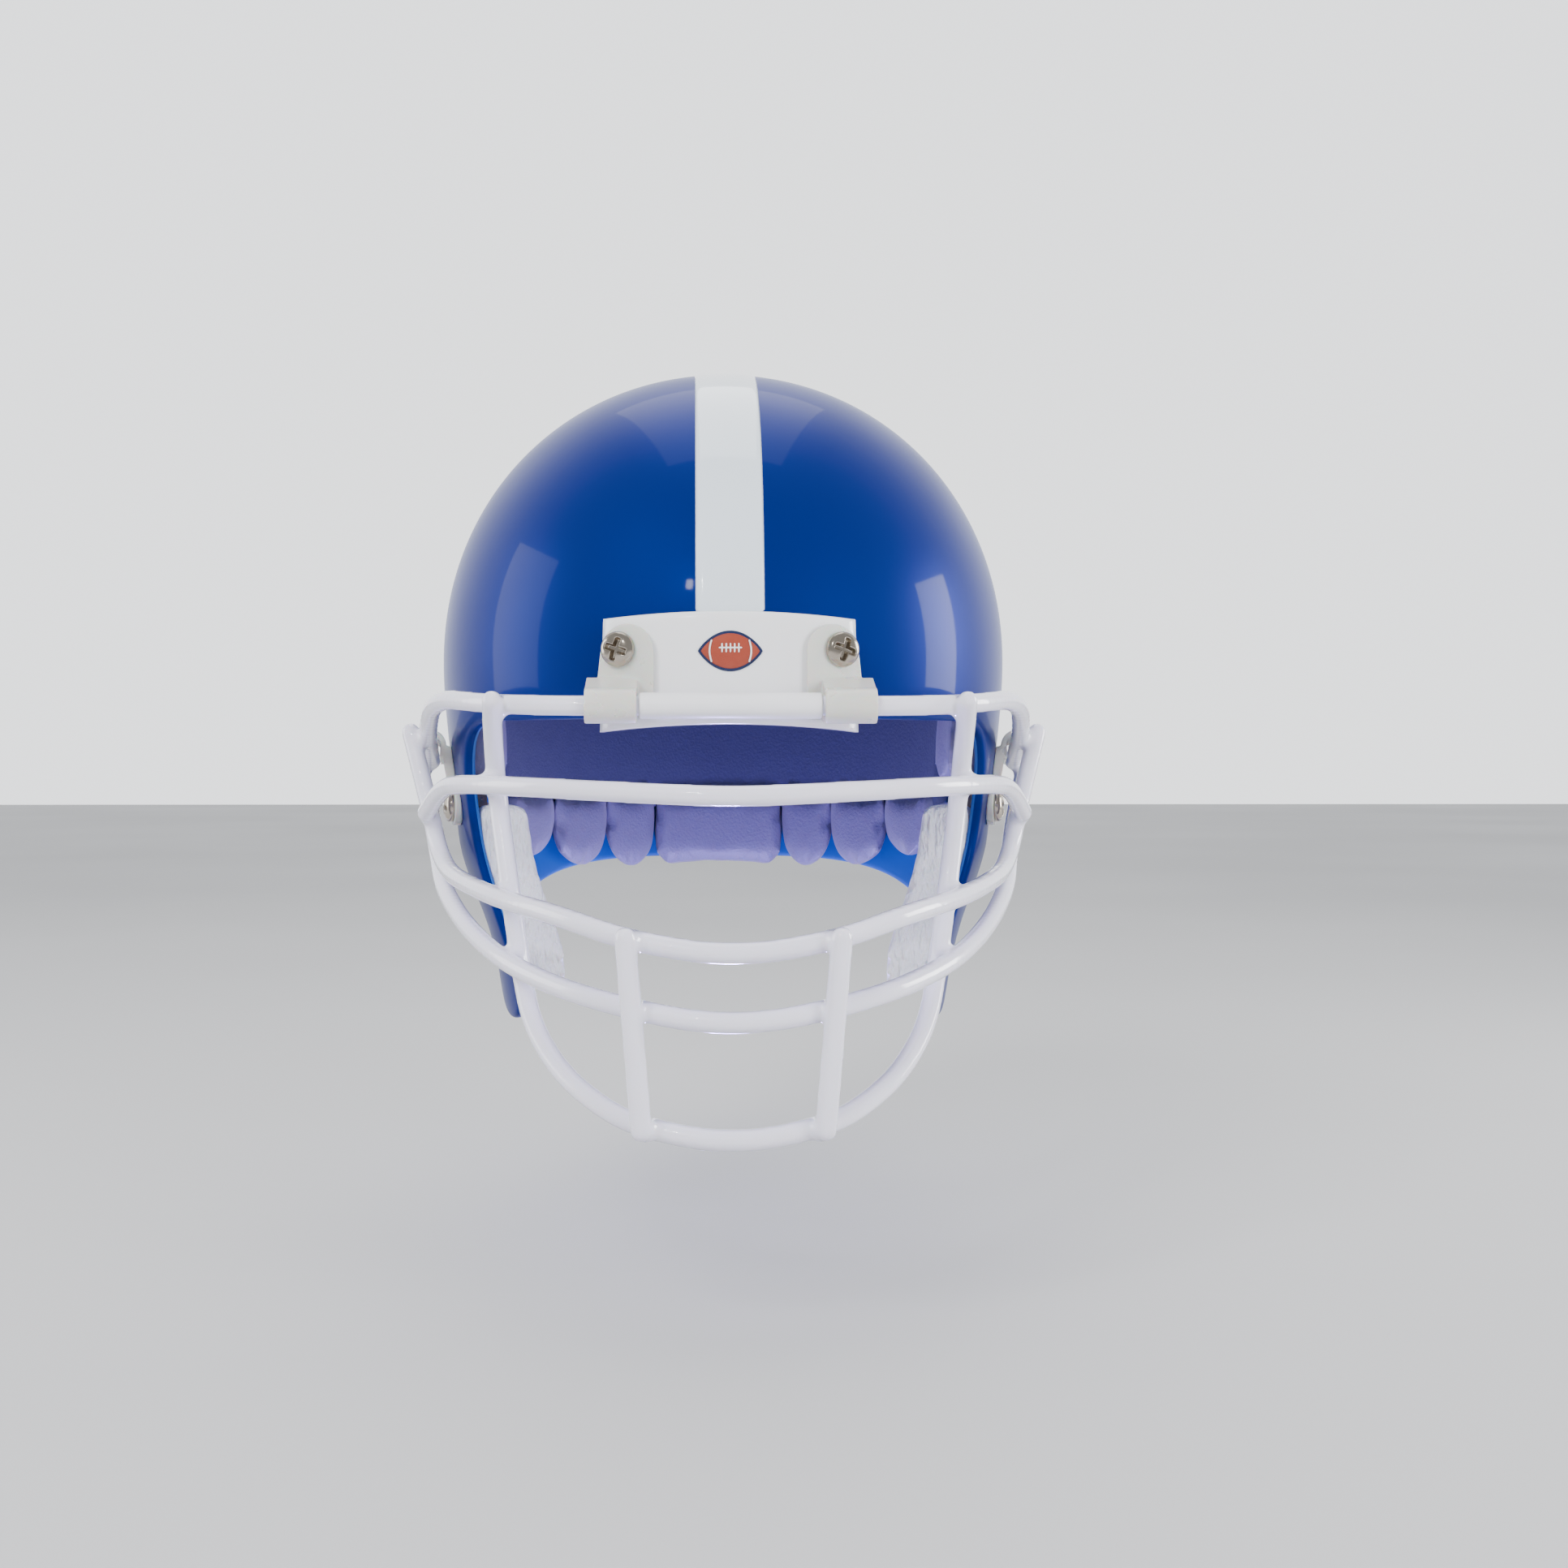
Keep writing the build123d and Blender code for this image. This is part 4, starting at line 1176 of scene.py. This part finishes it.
@dataclass
class Padding:
    """All the pads: each CAD block is remeshed, inflated as cloth, eased and given its vinyl."""

    finishes: Finishes
    form: HeadForm
    enlarge: float = 20.0  # the simulation runs on a copy this many times larger
    frames: int = 20
    cushions: tuple[Cushion, ...] = (
        Cushion("rear_cell_1", "rear_cushion_1", "liner_vinyl", cap=1.3, reach_up=3.6),
        *(Cushion(f"rear_cell_{n}", f"rear_cushion_{n}", "liner_vinyl", cap=1.3, petal=0.7, reach_up=3.6)
          for n in range(2, 8)),
        Cushion("temple_pad_left", "temple_cushion_left", "liner_vinyl"),
        Cushion("temple_pad_right", "temple_cushion_right", "liner_vinyl"),
        Cushion("crown_pad", "crown_cushion", "liner_vinyl", grain=1.0),
        Cushion("front_pad", "front_cushion", "liner_vinyl", grain=1.0),
        Cushion("jaw_pad_left", "jaw_cushion_left", "jaw_vinyl", cap=0.6, ease=10),
        Cushion("jaw_pad_right", "jaw_cushion_right", "jaw_vinyl", cap=0.6, ease=10))

    def inflate(self, cushion: Cushion) -> None:
        """Blows one pad up and makes its new mesh.

        Args:
            cushion: the pad's description.
        """
        finish = self.finishes.jaw if cushion.slot == "jaw_vinyl" else self.finishes.liner
        pad = copy_of(cushion.node, cushion.name, finish)
        soften(pad, cushion.grain, 4)
        if cushion.reach_up:
            self.draw_petal(pad.data, cushion)
        self.blow_up(pad, cushion)
        add_modifier(pad, "SMOOTH", factor=0.5, iterations=cushion.ease)
        add_modifier(pad, "SUBSURF", levels=1, render_levels=1)
        bake_modifiers(pad)
        self.form.squeeze_flanks(pad.data)
        pad.data.shade_smooth()
        enlist(pad, frame_body(cushion.node), cushion.slot, cushion.node)

    def draw_petal(self, mesh: bpy.types.Mesh, cushion: Cushion) -> None:
        """Draws a cell's top up over the panel and narrows its lower end about the crown's axis.

        With t the height as a share of the cell's, a point rises by reach_up t, and its plan angle
        from the cell's middle is scaled by (1 - (1 - t / petal)^2)^0.18 below t = petal.

        Args:
            mesh: the cell's mesh, which is changed.
            cushion: the cell's description.
        """
        points = vertex_array(mesh) / MM
        x, y, z = points[:, 0], points[:, 1] - self.form.crown_y, points[:, 2]
        share = (z - z.min()) / np.ptp(z)
        turn, radius = np.arctan2(y, x), np.hypot(x, y)
        middle = (turn.min() + turn.max()) / 2
        narrow = np.ones_like(share)
        if cushion.petal:
            rise = np.clip(share / cushion.petal, 0.02, 1)
            narrow = (1 - (1 - rise) ** 2) ** 0.18
        turn = middle + (turn - middle) * narrow
        moved = np.stack([radius * np.cos(turn), self.form.crown_y + radius * np.sin(turn),
                          z + cushion.reach_up * share], axis=1)
        set_vertices(mesh, moved * MM)

    def blow_up(self, pad: bpy.types.Object, cushion: Cushion) -> None:
        """Runs the cloth simulation on an enlarged copy and keeps a capped share of its movement.

        Args:
            pad: the pad, whose mesh is changed.
            cushion: the pad's description.
        """
        before = vertex_array(pad.data)
        centre = before.mean(axis=0)
        set_vertices(pad.data, (before - centre) * self.enlarge)
        cloth = add_modifier(pad, "CLOTH")
        settings = {"quality": 6, "mass": 0.3, "tension_stiffness": 25, "compression_stiffness": 25,
                    "shear_stiffness": 10, "bending_stiffness": 0.6, "use_pressure": True,
                    "uniform_pressure_force": cushion.pressure}
        for key, value in settings.items():
            setattr(cloth.settings, key, value)
        cloth.settings.effector_weights.gravity = 0.0
        cloth.collision_settings.use_collision = False
        cloth.collision_settings.use_self_collision = False
        cloth.point_cache.frame_start = 1
        cloth.point_cache.frame_end = self.frames
        scene = bpy.context.scene
        for number in range(1, self.frames + 1):
            scene.frame_set(number)
        bake_modifiers(pad)
        scene.frame_set(1)
        after = vertex_array(pad.data) / self.enlarge + centre
        move = after - before
        length = np.linalg.norm(move, axis=1, keepdims=True)
        limit = cushion.cap * MM
        move *= limit * np.tanh(length / limit) / np.maximum(length, 1e-12)
        set_vertices(pad.data, before + move)

    def build_panel(self) -> None:
        """Makes the rear panel: the CAD panel's form, remeshed with its edges softened."""
        # its finish is the liner's vinyl darkened as painted shade
        panel = copy_of("rear_liner", "rear_panel", self.finishes.panel)
        soften(panel, 0.6, 8)
        self.form.squeeze_flanks(panel.data)
        panel.data.shade_smooth()
        enlist(panel, "helmet", "liner_vinyl", "rear_liner")

    def build(self) -> None:
        """Makes every pad."""
        self.build_panel()
        for cushion in self.cushions:
            self.inflate(cushion)


# --- Set ---


@dataclass
class Studio:
    """The pale floor, the soft lights and the camera."""

    floor_z: float = -27.0
    distance: float = 346.0
    eye_z: float = 59.4
    azimuth: float = -1.1
    lens: float = 40.3
    shift: tuple[float, float] = (0.039, -0.016)
    sky: tuple[float, float] = (0.5, 2.1)  # dim and bright

    def build_floor(self) -> None:
        """Makes a large flat floor below the hovering helmet, with a matt pale finish."""
        half = 3000.0
        points = np.array([(-half, -half, 0), (half, -half, 0), (half, half, 0), (-half, half, 0)], float)
        points[:, 2] = self.floor_z
        pale = Finish("floor_pale", (0.50, 0.50, 0.51), (0.49, 0.49, 0.50), 3.0, (0.5, 0.6)).build()
        mesh = bpy.data.meshes.new("floor")
        mesh.from_pydata((points * MM).tolist(), [], [(0, 1, 2, 3)])
        mesh.materials.append(pale)
        link("floor", mesh)

    def area(self, name: str, place: tuple[float, float, float], size: float, power: float,
             tint: tuple[float, float, float] = (1, 1, 1), seen: bool = True) -> None:
        """Hangs a soft lamp aimed at the helmet's middle.

        Args:
            name: the lamp's name.
            place: where it hangs, in millimetres.
            size: its side in millimetres.
            power: watts.
            tint: its colour.
            seen: whether glossy surfaces mirror it.
        """
        lamp = bpy.data.lights.new(name, "AREA")
        lamp.shape = "RECTANGLE"
        lamp.size = size * MM
        lamp.size_y = size * 1.4 * MM
        lamp.energy = power
        lamp.color = tint
        piece = link(name, lamp)
        piece.visible_camera = False
        piece.visible_glossy = seen
        aim(piece, np.array(place), np.array((0.0, 0.0, 65.0)))

    def spot(self, name: str, place: tuple[float, float, float], power: float,
             tint: tuple[float, float, float]) -> None:
        """Sets a small lamp on the floor that shines up into the helmet.

        Args:
            name: the lamp's name.
            place: where it stands, in millimetres.
            power: watts.
            tint: its colour.
        """
        lamp = bpy.data.lights.new(name, "SPOT")
        lamp.spot_size = math.radians(150)
        lamp.spot_blend = 0.4
        lamp.shadow_soft_size = 6 * MM
        lamp.energy = power
        lamp.color = tint
        piece = link(name, lamp)
        piece.visible_camera = False
        aim(piece, np.array(place), np.array((0.0, place[1], 130.0)))

    def build_sky(self) -> None:
        """Lights the room from all round, brighter behind the helmet.

        The strength is dim + (bright - dim) S(d), where d is the direction's share towards +Y and S
        the smooth step from 0 to 1.
        """
        world = bpy.data.worlds.new("studio")
        world.use_nodes = True
        tree = world.node_tree
        sky = tree.nodes["Background"]
        sky.inputs["Color"].default_value = (0.95, 0.97, 1.0, 1)
        where = tree.nodes.new("ShaderNodeTexCoord").outputs["Generated"]
        parts = tree.nodes.new("ShaderNodeSeparateXYZ")
        tree.links.new(where, parts.inputs["Vector"])
        rise = tree.nodes.new("ShaderNodeMapRange")
        rise.interpolation_type = "SMOOTHSTEP"
        set_inputs(rise, {"From Min": -0.1, "From Max": 0.95, "To Min": self.sky[0], "To Max": self.sky[1]})
        tree.links.new(parts.outputs["Y"], rise.inputs["Value"])
        tree.links.new(rise.outputs["Result"], sky.inputs["Strength"])
        bpy.context.scene.world = world

    def build_camera(self, crown_y: float) -> None:
        """Sets the level camera in front of the helmet."""
        turn = math.radians(self.azimuth)
        place = np.array((self.distance * math.sin(turn), crown_y - self.distance * math.cos(turn),
                          self.eye_z))
        lens = bpy.data.cameras.new("camera")
        lens.lens = self.lens
        lens.sensor_width = 36.0
        lens.shift_x, lens.shift_y = self.shift
        piece = link("camera", lens)
        aim(piece, place, np.array((0.0, crown_y, self.eye_z)))
        bpy.context.scene.camera = piece

    def build(self, crown_y: float) -> None:
        """Builds the whole set."""
        self.build_floor()
        self.area("key", (-380, -460, 460), 300, 5.4, seen=False)
        self.area("fill", (420, -430, 160), 300, 3.6, seen=False)
        self.area("strip_right", (520, 60, 150), 170, 1.8)
        self.area("strip_left", (-560, 40, 190), 260, 1.2)
        self.area("top", (0, 160, 620), 380, 1.2)
        self.area("glint", (-150, -520, 330), 26, 0.22)
        self.spot("under", (0, 14, -24), 0.6, (0.42, 0.34, 1.0))
        self.build_sky()
        self.build_camera(crown_y)


def aim(piece: bpy.types.Object, place: np.ndarray, target: np.ndarray) -> None:
    """Puts a lamp or camera somewhere and points it at a target, both in millimetres."""
    start, end = Vector(place * MM), Vector(target * MM)
    piece.location = start
    piece.rotation_euler = (end - start).to_track_quat("-Z", "Y").to_euler()


def main() -> None:
    """Builds the helmet's looks in order: shell, trim, mask, fasteners, padding, magnet, set."""
    logging.basicConfig(level=logging.INFO, format="%(name)s %(message)s")
    form = HeadForm()
    finishes = Finishes()
    Shell(form, finishes).build()
    FrontTrim(form, finishes).build()
    Mask(form, finishes).build()
    Fasteners(finishes).build()
    Padding(finishes, form).build()
    dress_node("magnet_cup", finishes.cup)
    dress_node("hover_magnet", finishes.magnet)
    Studio().build(form.crown_y)


if __name__ == "__main__":
    main()
